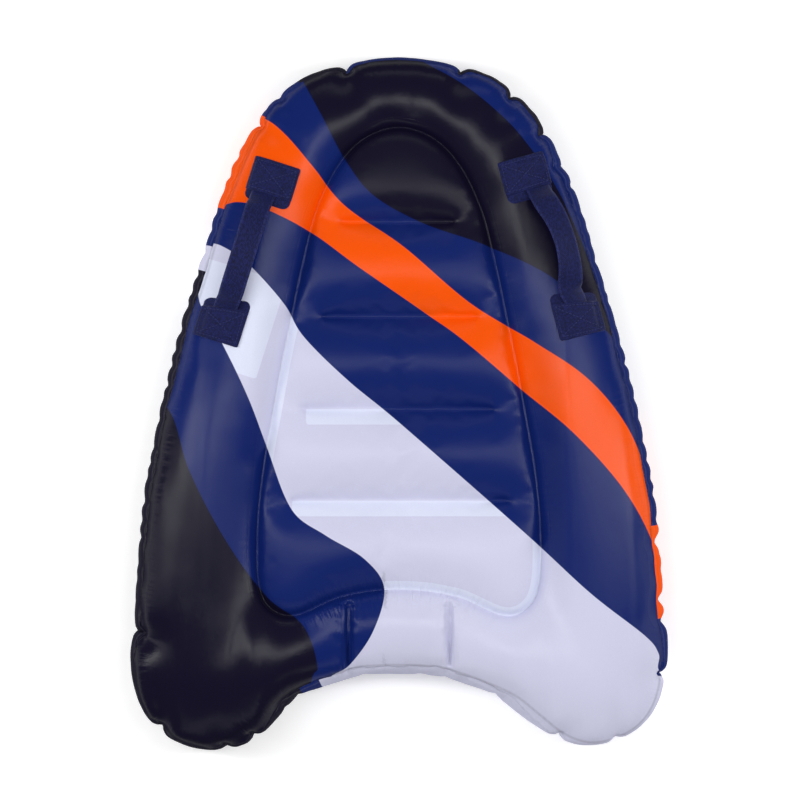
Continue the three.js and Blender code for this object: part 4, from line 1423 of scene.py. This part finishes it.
def make_tether(navy):
    """The strap that loops from the insert's head down to the cap."""
    half_width, half_thickness, step = 3.0, 0.6, 0.4
    head, cap, loop = -4.8, -8.7, 24.4       # heights at its two ends, and its reach, in millimetres
    line = curve_through([(16.8, head), (21.4, head), (23.6, head - 0.5), (loop, (head + cap) / 2),
                          (23.6, cap + 0.5), (21.4, cap), (16.6, cap)], False, step)
    run = unit(np.gradient(line, axis=0))
    normal = np.stack([-run[:, 1], run[:, 0]], 1) * half_thickness
    across = np.linspace(-half_width, half_width, 5)

    def grid(side):
        radius, height = np.repeat(side.T[..., None], len(across), 2)
        sideways = np.tile(across, (len(line), 1))
        return np.stack([VALVE[0] + radius * MM, VALVE[1] + sideways * MM, PAD_FLOOR + height * MM], -1)

    along = np.tile(np.arange(len(line))[:, None], (1, len(across))) * step * MM
    strap = slab("valve_cap_strap", grid(line + normal), grid(line - normal), grid(line)[..., 1], along)
    place_piece(strap, navy, None, "cap_plastic", "valve_tether")
    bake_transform(strap)


def make_cap_tab(navy):
    """The finger tab on the cap's edge, away from the tether, with ribs to grip."""
    start, length, half_width, thick = -16.6, 9.4, 4.6, 1.6
    low = CAP_INSIDE - thick
    steps = 24
    rounded = 0.6            # the share of the length after which its end is rounded
    u, v = np.meshgrid(np.linspace(0, 1, steps), np.linspace(-1, 1, steps), indexing="ij")
    round_off = np.sqrt(np.clip(1 - ((u - rounded) / (1 - rounded)) ** 2, 0.0, 1))
    width = half_width * np.where(u < rounded, 1, round_off)
    x = VALVE[0] + (start - length * u) * MM
    y = VALVE[1] + width * v * MM
    ribs = 0.25 * np.clip(np.sin(u * 2 * np.pi * 4.5), 0, 1) * (u > 0.3) * (u < 0.9) * (np.abs(v) < 0.8)
    upper = np.stack([x, y, np.full_like(x, PAD_FLOOR + (CAP_INSIDE - 0.05) * MM)], -1)
    lower = np.stack([x, y, PAD_FLOOR + (low - ribs) * MM], -1)
    tab = slab("valve_cap_tab", upper, lower, x, y)
    place_piece(tab, navy, "valve_stopper", "cap_plastic")


# ---- studio --------------------------------------------------------------------------------------

def make_camera():
    """Straight down on the board from high above."""
    camera = bpy.data.cameras.new("camera")
    camera.lens = 181
    holder = bpy.data.objects.new("camera", camera)
    holder.location = (0.0012, 0.0037, 5.0)
    scene.collection.objects.link(holder)
    scene.camera = holder


def make_light(name, place, size, power):
    """A soft box that points at the board's middle."""
    light = bpy.data.lights.new(name, "AREA")
    light.shape = "RECTANGLE"
    light.size, light.size_y = size
    light.energy = power
    holder = bpy.data.objects.new(name, light)
    holder.location = place
    aim = Vector((0, 0, 0.06)) - Vector(place)
    holder.rotation_euler = aim.to_track_quat("-Z", "Y").to_euler()
    scene.collection.objects.link(holder)


def make_studio():
    world = bpy.data.worlds.new("studio")
    scene.world = world
    world.use_nodes = True
    sky = world.node_tree.nodes["Background"]
    sky.inputs["Color"].default_value = (1.0, 1.0, 1.0, 1)
    sky.inputs["Strength"].default_value = 0.22
    for name, place, size, power in (
            ("left_box", (-1.35, 0.2, 2.1), (0.36, 3.0), 36),
            ("right_box", (1.35, 0.1, 2.1), (0.36, 3.0), 33),
            ("low_left_box", (-2.6, 0.0, 1.0), (0.5, 3.0), 10),
            ("low_right_box", (2.6, 0.0, 1.0), (0.5, 3.0), 10),
            ("nose_box", (0.2, 2.2, 1.8), (2.4, 0.5), 6),
            ("tail_box", (0.0, -2.2, 1.8), (2.6, 0.6), 6)):
        make_light(name, place, size, power)
    bpy.ops.mesh.primitive_grid_add(x_subdivisions=8, y_subdivisions=8, size=40)
    floor = bpy.context.object
    floor.name = "floor"
    floor.data.materials.append(floor_paper())
    scene.view_settings.view_transform = "Standard"


make_camera()
make_studio()
hull_surface = make_hull()
lining = lining_cloth()
webbing, oxford, thread = webbing_cloth(), patch_cloth(), thread_cloth()
for side in ("left", "right"):
    make_handle(hull_surface, side, webbing, oxford, lining, thread)
valve_navy = make_valve()
make_cap_tab(valve_navy)
make_tether(valve_navy)
for name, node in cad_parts.items():
    if "baffle" in name or "tie" in name:
        node.data.materials.clear()
        node.data.materials.append(lining)
